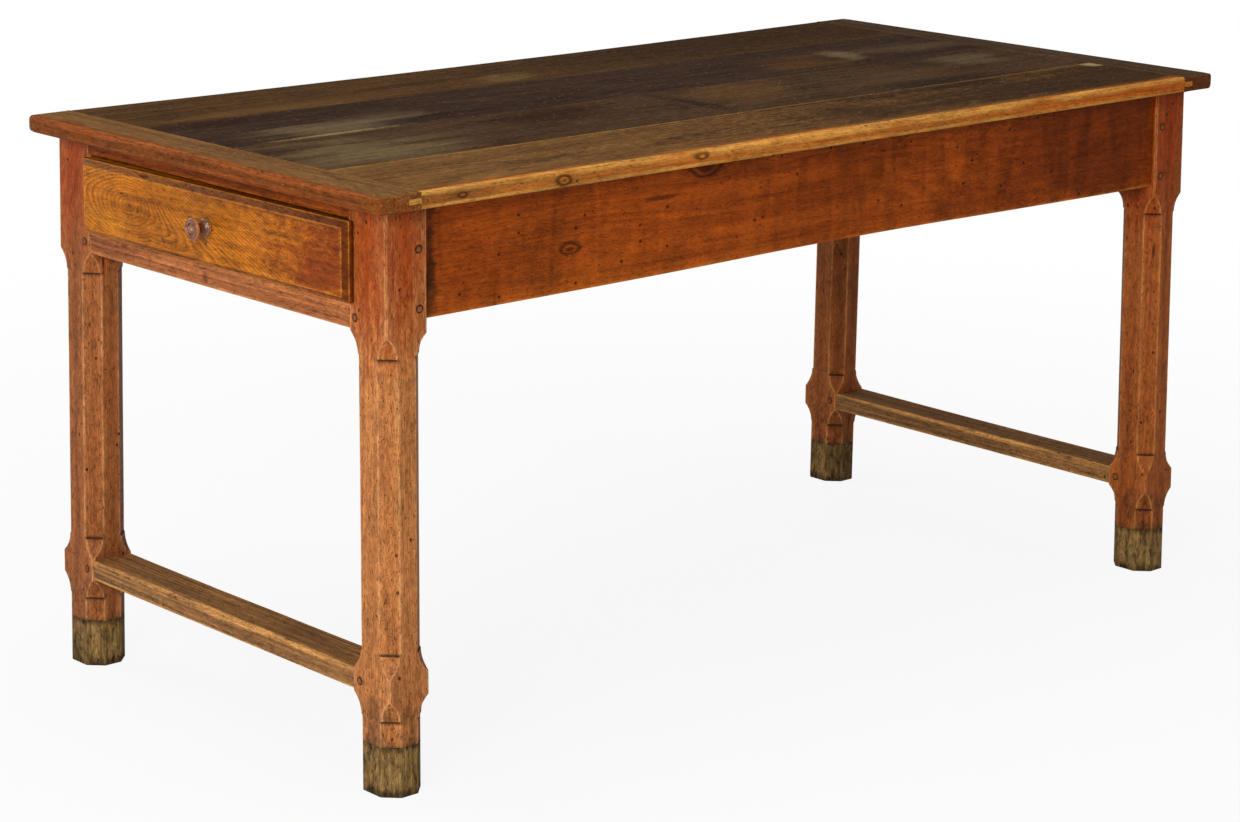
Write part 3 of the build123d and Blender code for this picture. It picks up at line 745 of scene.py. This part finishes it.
def leg_wood(name, light, dark, shift, gain):
    """Fruitwood for a leg: redder where the frame joins it, paler below, and stained above the splice."""
    tide = []
    for end, side in sorted(CORNERS.values()):
        x, y = end * FOOT_X, side * FOOT_Y
        tide += [((x, y, 0.056), (0.12, 0.12, 0.022), (70, 40, 24), 0.85),
                 ((x, y, 0.100), (0.05, 0.05, 0.03), (78, 42, 24), 0.7),
                 ((x, y, 0.72), (0.16, 0.16, 0.15), (164, 62, 0), 0.9)]
    return old_wood(name, "Z", light, dark, worn_and_lit=(220, 150, 96), heart=(0.9, 0.5), gap=3.2, sway=0.03,
                    ring=0.35, fibre=0.1, blotch=0.45, pores=0.2, worms=0.6, dash=0.15, marks=0.45,
                    mottle=0.4, specks=0.7, patches=tide, shift=shift, gain=gain)


leg_finishes = {
    "drawer_near": leg_wood("front_leg_wood", (200, 124, 68), (128, 62, 28), 2.0, (0.91, 0.95, 0.90)),
    "drawer_far": leg_wood("left_leg_wood", (170, 98, 50), (100, 46, 20), 6.0, (0.90, 0.90, 0.84)),
    "plain_near": leg_wood("right_leg_wood", (176, 98, 50), (104, 46, 20), 9.0, (0.79, 0.69, 0.44)),
    "plain_far": leg_wood("back_leg_wood", (156, 88, 44), (88, 44, 20), 13.0, (1.10, 0.97, 0.71)),
}
foot_finish = old_wood(
    "foot_wood", "Z", (150, 122, 76), (88, 66, 38), worn_and_lit=(150, 128, 84), heart=(0.7, 0.6), gap=2.4,
    ring=0.4, fibre=0.25, streak=0.45, blotch=0.6, aged=(58, 46, 30), worms=0.3, dash=0.25, mottle=0.9,
    marks=0.6, shift=17.0, rough=0.62, shine=0.1, wear_and_highlight=0.3, gain=(0.81, 0.72, 0.61),
    patches=[((0, 0, 0.0), (2.0, 2.0, 0.011), (52, 40, 26), 0.8),
             ((0, 0, 0.066), (2, 2, 0.008), (54, 40, 24), 0.7)])

# %% Legs and feet
for corner, (end, side) in CORNERS.items():
    leg_rings, foot_rings = post(end, side, LEG_TOP, FOOT_JOINT), post(end, side, FOOT_JOINT, 0.0)
    piece("worn_leg_" + corner, [leg_rings], "leg_" + corner, leg_finishes[corner])
    piece("worn_foot_" + corner, [foot_rings], "foot_" + corner, foot_finish)
print("four legs and four feet")

# %% [markdown]
# ## Aprons
# The long boards under the top are tenoned into the legs. The near one has the liveliest figure of the
# whole table: flames, an eye, a black-edged knot high up and a sliver of bark. Its lower edge was never
# straight: it rises a few millimetres right of the middle.

# %% Apron finishes
apron_finish = old_wood(
    "near_apron_wood", "X", (172, 88, 34), (106, 44, 10), worn_and_lit=(214, 140, 80), heart=(-0.25, 0.62), gap=7.0,
    sway=0.12, ripple=0.014, ring=0.3, fibre=0.12, streak=0.45, flame=0.45, blotch=0.5, aged=(92, 36, 6),
    worms=0.6, dash=0.1, marks=0.2, mottle=0.2, specks=0.2, pores=0.2, shift=4.4, shine=0.08, wear_and_highlight=0.7,
    gain=(0.92, 0.72, 0.25), knots=[((-0.456, -0.347, 0.651), 0.0065), ((-0.224, -0.347, 0.728), 0.009)],
    patches=[((-0.30, -0.347, 0.699), (0.03, 0.05, 0.0035), (60, 24, 10), 0.7),
             ((-0.34, -0.347, 0.737), (0.1, 0.05, 0.005), (34, 18, 10), 0.8),
             ((-0.20, -0.347, 0.722), (0.05, 0.05, 0.012), (78, 28, 6), 0.5),
             ((0.109, -0.347, 0.713), (0.016, 0.05, 0.002), (50, 20, 8), 0.8),
             ((0.385, -0.347, 0.671), (0.012, 0.05, 0.002), (50, 20, 8), 0.8),
             ((0.60, -0.347, 0.67), (0.34, 0.2, 0.16), (88, 30, 4), 0.6),
             ((-0.14, -0.347, 0.66), (0.02, 0.2, 0.05), (196, 104, 40), 0.35),
             ((0.12, -0.347, 0.69), (0.015, 0.2, 0.03), (200, 108, 44), 0.4),
             # Painted shadow: a dark strip on the recessed apron beside the front leg, where the leg's edge
             # shades it.
             ((-0.678, -0.347, 0.67), (0.010, 0.2, 0.2), (46, 24, 14), 0.8),
             ((-0.45, -0.347, 0.60), (0.3, 0.1, 0.03), (186, 104, 50), 0.4)])


def plain_apron(name, grain, heart, gap, shift):
    """Quieter fruitwood for the two aprons that stand in the shade."""
    return old_wood(name, grain, (150, 80, 36), (92, 42, 14), worn_and_lit=(190, 120, 62), heart=heart, gap=gap,
                    sway=0.09, ring=0.4, streak=0.5, flame=0.15, blotch=0.45, worms=0.4, marks=0.2,
                    fibre=0.15, shift=shift, gain=(0.93, 0.75, 0.45))


back_apron_finish = plain_apron("far_apron_wood", "X", (0.3, 0.55), 6.5, 11.0)
end_apron_finish = plain_apron("end_apron_wood", "Y", (0.5, 0.55), 6.0, 15.0)

# %% Aprons
leg_inside_x, leg_inside_y = OUTER_X - LEG_X, OUTER_Y - LEG_Y
APRON_LOW, RECESS, APRON_THICK, INTO_LEG = 596.5 * MM, 5 * MM, 24 * MM, 4 * MM


def bowed(height, middle, spread):
    """A shape that lifts the lower edge of a board smoothly, most at one place."""
    def lift(x, y, z):
        share = max(0.0, 1 - (z - APRON_LOW) / (40 * MM))
        return x, y, z + share * height * math.exp(-((x - middle) / spread) ** 2)
    return lift


for name, side, finish, bow in (("near", -1, apron_finish, bowed(4.8 * MM, 0.08, 0.33)),
                                ("far", 1, back_apron_finish, bowed(2 * MM, -0.2, 0.4))):
    faces = sorted((side * (OUTER_Y - RECESS), side * (OUTER_Y - RECESS - APRON_THICK)))
    low = Vector((-leg_inside_x - INTO_LEG, faces[0], APRON_LOW))
    high = Vector((leg_inside_x + INTO_LEG, faces[1], LEG_TOP))
    rings = plank(low, high, "X", (1.4 * MM,) * 4, shape=bow, inner=(2, 9), waviness=0.0007, seed=side * 2.0)
    piece("side_apron_" + name, [rings], "apron_" + name, finish)
low = Vector((OUTER_X - RECESS - APRON_THICK, -leg_inside_y - INTO_LEG, APRON_LOW))
high = Vector((OUTER_X - RECESS, leg_inside_y + INTO_LEG, LEG_TOP))
piece("end_apron", [plank(low, high, "Y", (1.4 * MM,) * 4, inner=(2, 9), waviness=0.0006, seed=7.0)],
      "apron_plain_end", end_apron_finish)
print("three aprons,", round((LEG_TOP - APRON_LOW) * 1000), "mm deep")

# %% [markdown]
# ## Rails and stretchers
# A thin rail runs over the drawer and a stouter one under it. The two low stretchers have served as foot
# rests: their upper arrises are worn to a long golden hollow, deepest in the middle.

# %% Rails and stretchers
rail_finish = old_wood(
    "rail_wood", "Y", (188, 112, 60), (112, 56, 26), worn_and_lit=(206, 134, 76), heart=(-0.4, 0.2), gap=3.4,
    sway=0.03, ring=0.4, streak=0.5, blotch=0.4, worms=0.3, dash=0.5, shift=19.0, rough=0.46,
    patches=[((-0.75, 0.02, 0.594), (0.05, 0.007, 0.006), (70, 30, 14), 0.7),
             ((-0.75, 0.24, 0.598), (0.1, 0.1, 0.03), (104, 52, 26), 0.5)])
upper_rail_finish = old_wood(
    "upper_rail_wood", "Y", (150, 86, 38), (96, 46, 18), worn_and_lit=(190, 118, 60), heart=(-0.4, 0.3), gap=3.4,
    sway=0.03, ring=0.4, streak=0.5, blotch=0.4, worms=0.3, gain=(0.97, 0.62, 0.08), shift=23.0)
stretcher_finish = old_wood(
    "stretcher_wood", "Y", (150, 104, 58), (92, 56, 26), worn_and_lit=(206, 146, 80), heart=(-0.2, -0.5), gap=3.6,
    sway=0.03, ring=0.5, fibre=0.45, streak=0.6, blotch=0.5, aged=(96, 66, 38), worms=0.3, dash=0.4,
    shift=27.0, wear_and_highlight=0.9)
for name, finish, radius in (("rail_over_drawer", upper_rail_finish, 0.9),
                             ("rail_under_drawer", rail_finish, 1.6)):
    low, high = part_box(name)
    low.y, high.y = -leg_inside_y - INTO_LEG, leg_inside_y + INTO_LEG
    rings = plank(low, high, "Y", (radius * MM,) * 4, inner=(3, 3), waviness=0.0005, seed=radius)
    piece("worn_" + name, [rings], name, finish)

for name, end in (("drawer_end", -1), ("plain_end", 1)):
    low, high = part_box("stretcher_" + name)
    reach = leg_inside_y + LEAN_Y
    lean = LEAN_X * (1 - SHIELD_TIP / LEG_TOP)
    faces = sorted((end * (OUTER_X + lean - 1 * MM), end * (leg_inside_x + lean + 1 * MM)))
    low, high = Vector((faces[0], -reach, LOWER_TIP)), Vector((faces[1], reach, SHIELD_TIP))

    def foot_worn(t, end=end, reach=reach):
        """Radii of a stretcher's arrises: small below, and rounded by feet above, most in the middle and
        outside.
        """
        uneven = wander(0.75, 0.25, t * 8, 1.0, end)
        outer = 2.5 * MM + 5 * MM * max(0.0, 1 - (t / reach) ** 2) * uneven
        inside = outer * 0.6
        return (1.5 * MM, 1.5 * MM, inside, outer) if end < 0 else (1.5 * MM, 1.5 * MM, outer, inside)

    rings = plank(low, high, "Y", foot_worn, inner=(6, 2), waviness=0.0009, seed=end * 5.0, spacing=0.015)
    piece("foot_worn_stretcher_" + name, [rings], "stretcher_" + name, stretcher_finish)
print("two rails and two stretchers")

# %% [markdown]
# ## Pegs
# Round pegs pin the tenons. Each one stands a hair proud with a domed head, rounded by use, and a dark
# ring round it is painted shade for the gap between peg and hole.

# %% Pegs
peg_finish = old_wood("peg_wood", "X", (132, 74, 38), (66, 32, 16), worn_and_lit=(150, 88, 48), gap=2.0, ring=0.4,
                      blotch=0.4, worms=0.0, dash=0.0, shift=31.0, rough=0.5)
PEG, PEG_SIDES, UP = 4.75 * MM, 20, Vector((0, 0, 1))
# Each row: out from the face in millimetres, width as a share of the peg's radius, painted shade.
PEG_PROFILE = [(-6, 1.22, 1.0), (0.05, 1.22, 1.0), (0.12, 1.1, 1.0), (0.15, 1.0, 1.0),
               (0.5, 0.86, 0.35), (0.7, 0.62, 0.0), (0.78, 0.35, 0.0), (0.8, 0.1, 0.0)]


def domed_peg(face, outward):
    """Rings of a peg's head, from inside the wood to the middle of its dome, with a dark rim of painted shade.
    """
    side = UP.cross(outward)
    rings = []
    for out, wide, shade_and_dirt_share in PEG_PROFILE:
        ring = []
        for k in range(PEG_SIDES):
            angle = math.tau * k / PEG_SIDES
            c, s = math.cos(angle), math.sin(angle)
            uneven = 1 - 0.05 * wander(0.5, 0.5, c, s, face.y * 40)
            place = face + outward * out * MM + (side * c + UP * s) * PEG * wide * uneven
            ring.append((place, 1.0 if out > 0.5 else 0.0, shade_and_dirt_share))
        rings.append(ring)
    return rings


def lean_at(z):
    """How far the legs' faces stand out at a height, along X and Y."""
    return LEAN_X * (1 - z / LEG_TOP), LEAN_Y * (1 - z / LEG_TOP)


PEG_IN = 14 * MM
pin_x, pin_y = leg_inside_x + PEG_IN, leg_inside_y + PEG_IN
apron_heads, rail_heads, stretcher_heads = [], [], []
for side in (-1, 1):
    for z in (685 * MM, 612 * MM):
        for end in (-1, 1):
            face = Vector((end * pin_x, side * (OUTER_Y + lean_at(z)[1]), z))
            apron_heads.append(domed_peg(face, Vector((0, side, 0))))
        lower = z - 2.5 * PEG
        face = Vector((OUTER_X + lean_at(lower)[0], side * pin_y, lower))
        apron_heads.append(domed_peg(face, Vector((1, 0, 0))))
    z = 598 * MM
    rail_heads.append(domed_peg(Vector((-OUTER_X - lean_at(z)[0], side * pin_y, z)), Vector((-1, 0, 0))))
    z = (SHIELD_TIP + LOWER_TIP) / 2
    for end in (-1, 1):
        for face_x, outward in ((OUTER_X + lean_at(z)[0], end), (leg_inside_x + lean_at(z)[0], -end)):
            face = Vector((end * face_x, side * (pin_y + lean_at(z)[1]), z))
            stretcher_heads.append(domed_peg(face, Vector((outward, 0, 0))))
piece("apron_peg_heads", apron_heads, "apron_pegs", peg_finish)
piece("rail_peg_heads", rail_heads, "rail_pegs", peg_finish)
piece("stretcher_peg_heads", stretcher_heads, "stretcher_pegs", peg_finish)
print(len(apron_heads) + len(rail_heads) + len(stretcher_heads), "peg heads")

# %% [markdown]
# ## The drawer front
# The front is a golden board with a bevel all round, widest at its near end, and it hangs a touch crooked.
# Its rings were cut close to a swelling in the trunk, so they close into ovals at the left and then run
# off as slanting lines.

# %% Drawer front finish
def oval_rings(b, x, y, z):
    """Distance from the middle of the ovals, which runs off into slanting lines."""
    aside = b.minus(y, 0.172)
    bounded = b.times(b.reckon("TANH", b.reckon("DIVIDE", aside, 0.11)), 0.055)
    slant = b.times(b.reckon("MINIMUM", b.plus(aside, 0.05), 0.0), -0.42)
    rise = b.plus(b.minus(z, 0.667), slant)
    return b.reckon("SQRT", b.plus(b.times(bounded, bounded), b.times(rise, rise)))


front_finish = old_wood(
    "drawer_front_wood", "Y", (214, 136, 56), (108, 50, 12), worn_and_lit=(230, 156, 92), gap=3.9, sway=0.03,
    ripple=0.008, ring=0.7, fibre=0.22, flame=0.2, blotch=0.4, aged=(118, 56, 16), worms=0.4,
    mottle=0.35, specks=0.5, shift=35.0, wear_and_highlight=0.6, field=oval_rings, gain=(0.80, 0.66, 0.16),
    patches=[((-0.762, -0.30, 0.67), (0.1, 0.13, 0.09), (128, 44, 0), 0.8),
             ((-0.762, -0.12, 0.712), (0.1, 0.2, 0.012), (110, 46, 14), 0.6),
             ((-0.762, 0.168, 0.667), (0.1, 0.010, 0.003), (74, 36, 14), 0.6),
             ((-0.762, 0.094, 0.632), (0.1, 0.006, 0.004), (80, 38, 14), 0.7),
             ((-0.762, 0.20, 0.64), (0.1, 0.06, 0.02), (226, 156, 72), 0.4)])

# %% Drawer front
front_low, front_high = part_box("drawer_front")
FRONT_FACE, LIP_BACK, FRONT_BACK = front_low.x, front_low.x + 10 * MM, front_low.x + 22 * MM
BEVEL_DEEP = 3.5 * MM
BEVEL_EDGE = FRONT_FACE + BEVEL_DEEP
BEVEL_UNDER, BEVEL_FAR, BEVEL_OVER, BEVEL_NEAR = 6 * MM, 6 * MM, 9.5 * MM, 12 * MM
# Painted shade on the front's bevels and lip edges, by side: under, far, over, near.
SIDE_SHADE = (0.5, 0.1, 0.9, 1.0)
TILT = math.radians(0.27)
lip_middle = (front_low + front_high) / 2
half_y, half_z = (front_high.y - front_low.y) / 2, (front_high.z - front_low.z) / 2


def front_ring(x, inset, slope, half_y, half_z, middle, worn_and_lit, shade_and_dirt_share=0.0, tilted=True):
    """A rectangle of points at one depth of the drawer front. slope is how far up the bevels it lies."""
    low_y, high_y = -half_y + inset + slope * BEVEL_NEAR, half_y - inset - slope * BEVEL_FAR
    low_z, high_z = -half_z + inset + slope * BEVEL_UNDER, half_z - inset - slope * BEVEL_OVER
    corners = [(low_y, low_z), (high_y, low_z), (high_y, high_z), (low_y, high_z)]
    dips = 0.35 * MM if x < FRONT_FACE + 1 * MM else 0.0
    ring = []
    for k, (start, stop) in enumerate(zip(corners, corners[1:] + corners[:1])):
        count = 28 if k % 2 == 0 else 8
        for step in range(count):
            across = start[0] + (stop[0] - start[0]) * step / count
            height = start[1] + (stop[1] - start[1]) * step / count
            dip = dips * wander(0.5, 0.5, across * 9, height * 14, 3.3)
            fall = across * math.sin(TILT) if tilted else 0.0
            place = Vector((x + dip, middle.y + across, middle.z + height - fall))
            ring.append((place, worn_and_lit, shade_and_dirt_share * SIDE_SHADE[k]))
    return ring


# Each row: depth, inset in millimetres, place up the bevels, pale share for use and painted highlight, painted
# shade. The lip's edge faces carry painted shadow, and the bevels painted shade by side.
lip_rows = [
    (LIP_BACK, 0.6, 0, 0.0, 0.9),
    (LIP_BACK - 0.4 * MM, 0.1, 0, 0.2, 0.8),
    (LIP_BACK - 0.9 * MM, 0.0, 0, 0.0, 0.7),
    (BEVEL_EDGE + 0.7 * MM, 0.0, 0, 0.3, 0.4),
    (BEVEL_EDGE + 0.15 * MM, 0.25, 0, 1.0, 0.0),
    (BEVEL_EDGE - 0.1 * MM, 0.3, 0.04, 1.0, 0.0),
    (FRONT_FACE + BEVEL_DEEP * 0.85, 0.3, 0.14, 0.1, 0.5),
    (FRONT_FACE + BEVEL_DEEP * 0.5, 0.2, 0.5, 0.0, 0.6),
    (FRONT_FACE + BEVEL_DEEP * 0.14, 0.0, 0.88, 0.0, 0.6),
    (FRONT_FACE + 0.12 * MM, 0.0, 0.97, 1.0, 0.0),
    (FRONT_FACE, 0.0, 1.04, 1.0, 0.0),
    (FRONT_FACE, 1.6, 1.04, 0.2, 0.0)]
lip_rows += [(FRONT_FACE, inset, 1.04, 0.0, 0.0) for inset in (8.0, 18.0, 29.0, 39.0)]
lip = [front_ring(x, inset * MM, slope, half_y, half_z, lip_middle, worn_and_lit, shade_and_dirt_share)
       for x, inset, slope, worn_and_lit, shade_and_dirt_share in lip_rows]
shoulder_half = leg_inside_y - 2 * MM
shoulder_middle = Vector((0, 0, lip_middle.z))
shoulder = [front_ring(x, inset * MM, 0, shoulder_half, half_z - 1.2 * MM, shoulder_middle, 0.2, tilted=False)
            for x, inset in ((FRONT_BACK, 0.5), (FRONT_BACK - 0.4 * MM, 0.0), (LIP_BACK - 1 * MM, 0.0))]
piece("bevelled_drawer_front", [lip, shoulder], "drawer_front", front_finish,
      body="drawer")
print("drawer front tilted", round(math.degrees(TILT), 2), "degrees")

# %% [markdown]
# ## The knob
# A small turned knob: a flange with a double bead against the wood, a narrow neck, and a flat head with
# rings cut into it round a central button. A profile turned about the knob's own axis gives all of it.

# %% Knob
knob_finish = old_wood(
    "knob_wood", "X", (128, 72, 36), (70, 34, 16), worn_and_lit=(176, 116, 68), heart=(0.0, 0.65), gap=2.2, sway=0.01,
    ring=0.4, fibre=0.15, streak=0.5, blotch=0.4, worms=0.0, dash=0.0, marks=0.2, mottle=0.15, specks=0.0,
    shift=41.0, rough=0.2, shine=0.9, wear_and_highlight=0.8, gain=(1.1, 0.95, 0.8))
KNOB_Y, KNOB_Z, KNOB_SIDES = -3 * MM, 665 * MM, 56

# Each row of the profile: millimetres out from the drawer's face, radius in millimetres, pale share for use and
# painted highlight, how much darker it is painted
flange = [(-20, 7, 0, 1), (-0.5, 7, 0, 1), (0.1, 11.9, 0, 1), (0.9, 12, 0.6, 0.5), (1.6, 11.8, 1, 0),
          (2.2, 11.2, 0.4, 0.6), (2.5, 11.2, 0, 0.9), (3.1, 11.2, 0.8, 0.1), (3.8, 10.7, 0.8, 0),
          (4.4, 9.6, 0.2, 0.4)]
neck = [(5.6, 8.1, 0, 0.5), (7.4, 7.0, 0, 0.3), (9.8, 6.5, 0, 0.1), (12.4, 6.9, 0, 0), (15, 8.1, 0, 0),
        (17.2, 10.0, 0, 0)]
head = [(18.7, 12.2, 0.1, 0), (19.3, 14.1, 0.6, 0), (20.3, 14.9, 1, 0), (21.6, 14.9, 1, 0),
        (22.7, 14.3, 0.9, 0), (23.5, 13.1, 0.6, 0), (23.8, 11.8, 0.3, 0.2), (23.2, 11.2, 0, 0.9),
        (23.6, 10.5, 0.5, 0.2), (24.3, 9.6, 1, 0), (24.2, 8.4, 0.4, 0.3), (23.1, 7.7, 0, 0.9),
        (23.0, 6.6, 0, 0.6), (23.8, 5.7, 0.5, 0.1), (25.4, 4.9, 1, 0), (26.7, 3.6, 1, 0),
        (27.3, 1.9, 1, 0), (27.45, 0.6, 1, 0)]
knob_rings = []
for out, radius, worn_and_lit, shade_and_dirt_share in flange + neck + head:
    ring = []
    for k in range(KNOB_SIDES):
        angle = math.tau * k / KNOB_SIDES
        across, height = radius * MM * math.cos(angle), radius * MM * math.sin(angle)
        place = Vector((FRONT_FACE - out * MM, KNOB_Y + across, KNOB_Z + height))
        ring.append((place, worn_and_lit * 0.8, shade_and_dirt_share * 0.6))
    knob_rings.append(ring)
piece("turned_knob", [knob_rings], "drawer_knob", knob_finish, body="drawer")
print("knob stands", round(head[-1][0], 1), "mm out")

# %% [markdown]
# ## Inside the table
# Runners, guides, kickers, buttons, the drawer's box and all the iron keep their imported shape. A narrow
# bevel breaks their edges, and they get a plain dusty softwood or a dull, rust-freckled iron.

# %% Hidden woods and iron
inner_finishes = {
    axis: old_wood("inner_wood_" + axis, axis, (186, 146, 98), (128, 92, 56), worn_and_lit=(200, 164, 116),
                   heart=(0.4, 0.3), gap=4.5, sway=0.04, ring=0.5, blotch=0.4, aged=(120, 92, 62), worms=0.2,
                   dash=0.2, shift=47.0, rough=0.65, wear_and_highlight=0.0)
    for axis in "XYZ"}


def old_iron():
    """Dull dark iron with brown freckles of rust."""
    b = Bench("old_iron")
    x, y, z = b.place()
    fine = 400
    patchy = b.cloud(b.vector(b.times(x, fine), b.times(y, fine), b.times(z, fine)), 4.0, 0.6)
    rust = b.ease(patchy, 0.48, 0.62)
    b.put(b.shader.inputs["Base Color"], b.mix(rust, tone(70, 66, 64), tone(96, 54, 34)))
    b.put(b.shader.inputs["Metallic"], b.ease(patchy, 0.48, 0.62, 0.85, 0.1))
    b.put(b.shader.inputs["Roughness"], b.ease(patchy, 0.4, 0.65, 0.45, 0.8))
    b.bump(patchy, 0.0001)
    return b.material


iron = old_iron()
kept_wood = {
    "X": ("drawer_runner_near", "drawer_runner_far", "drawer_guide_near", "drawer_guide_far",
          "drawer_kicker_near", "drawer_kicker_far", "drawer_side_near", "drawer_side_far"),
    "Y": ("top_buttons", "drawer_back", "drawer_bottom"),
    "Z": ("foot_dowels",),
}
kept_iron = ("guide_nails", "top_button_screws", "rail_screws", "drawer_bottom_nails")


def give_finish(obj, finish):
    """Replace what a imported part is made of."""
    obj.data.materials.clear()
    obj.data.materials.append(finish)


for axis, nodes in kept_wood.items():
    for node in nodes:
        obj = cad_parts[node]
        give_finish(obj, inner_finishes[axis])
        edge = obj.modifiers.new("broken edges", "BEVEL")
        edge.width, edge.segments = 0.7 * MM, 2
        edge.limit_method, edge.angle_limit = "ANGLE", math.radians(40)
for node in kept_iron:
    give_finish(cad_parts[node], iron)
print(sum(map(len, kept_wood.values())) + len(kept_iron), "packed parts kept")

# %% [markdown]
# ## Studio
# A pale floor that runs out to white, and four soft lamps: a strong one from the upper left, a weaker one
# from the right, a broad one overhead and one behind. The world is white to the eye but gives only a
# gentle fill, brighter from above than from the horizon.

# %% Floor
def paper_floor():
    """Matt pale paper that turns into even white light far from the table."""
    b = Bench("pale_paper")
    x, y, _ = b.place()
    far = b.reckon("SQRT", b.plus(b.times(x, x), b.times(y, y)))
    mottle = b.cloud(b.vector(b.times(x, 3), b.times(y, 3), 0.0), 3.0)
    b.put(b.shader.inputs["Base Color"], b.mix(mottle, (0.60, 0.60, 0.60), (0.62, 0.62, 0.62)))
    b.shader.inputs["Roughness"].default_value = 0.9
    b.shader.inputs["Specular IOR Level"].default_value = 0.05
    glow = b.nodes.new("ShaderNodeEmission")
    blend = b.nodes.new("ShaderNodeMixShader")
    path = b.nodes.new("ShaderNodeLightPath")
    b.put(blend.inputs[0], b.times(path.outputs["Is Camera Ray"], b.ease(far, 0.6, 3.0, 0.9, 1.0)))
    b.links.new(b.shader.outputs[0], blend.inputs[1])
    b.links.new(glow.outputs[0], blend.inputs[2])
    b.links.new(blend.outputs[0], b.nodes["Material Output"].inputs[0])
    return b.material


FLOOR_RADIUS = 60
floor_mesh = bpy.data.meshes.new("floor")
bm = bmesh.new()
bmesh.ops.create_circle(bm, cap_ends=True, segments=96, radius=FLOOR_RADIUS)
bm.to_mesh(floor_mesh)
bm.free()
floor = bpy.data.objects.new("floor", floor_mesh)
bpy.context.scene.collection.objects.link(floor)
floor_mesh.materials.append(paper_floor())
floor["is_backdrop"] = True

# %% Lamps and world
def soft_lamp(name, place, target, size, watts):
    """A square area lamp that faces a target."""
    data = bpy.data.lights.new(name, "AREA")
    data.size, data.energy = size, watts
    lamp = bpy.data.objects.new(name, data)
    lamp.location = place
    lamp.rotation_mode = "QUATERNION"
    lamp.rotation_quaternion = (Vector(target) - Vector(place)).to_track_quat("-Z", "Y")
    bpy.context.scene.collection.objects.link(lamp)


soft_lamp("key", (-4.8, -2.7, 2.3), (0, 0, 0.5), 2.2, 230)
soft_lamp("fill", (2.2, -4.6, 2.0), (0, 0, 0.4), 2.4, 24)
soft_lamp("overhead", (-0.4, 0.2, 3.6), (0, 0, 0), 2.4, 60)
soft_lamp("behind", (-2.4, 4.6, 2.0), (0, 0, 0.4), 2.5, 60)
world = bpy.data.worlds.new("studio")
bpy.context.scene.world = world
world.use_nodes = True
air = world.node_tree
seen = air.nodes.new("ShaderNodeLightPath")
sky = air.nodes.new("ShaderNodeTexCoord")
height = air.nodes.new("ShaderNodeSeparateXYZ")
glow = air.nodes.new("ShaderNodeMapRange")
glow.inputs[1].default_value, glow.inputs[2].default_value = 0.25, 0.9
glow.inputs[3].default_value, glow.inputs[4].default_value = 0.06, 0.5
strength = air.nodes.new("ShaderNodeMapRange")
strength.inputs[4].default_value = 1.05
air.links.new(sky.outputs["Generated"], height.inputs[0])
air.links.new(height.outputs[2], glow.inputs[0])
air.links.new(glow.outputs[0], strength.inputs[3])
air.links.new(seen.outputs["Is Camera Ray"], strength.inputs[0])
air.links.new(strength.outputs[0], air.nodes["Background"].inputs["Strength"])
air.nodes["Background"].inputs["Color"].default_value = (1, 1, 1, 1)
bpy.context.scene.view_settings.view_transform = "Standard"

# %% Sizes and finish
low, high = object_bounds()
print("dressed table", [round(size, 4) for size in high - low])
print("packed table", [round(size, 4) for size in cad_high - cad_low])
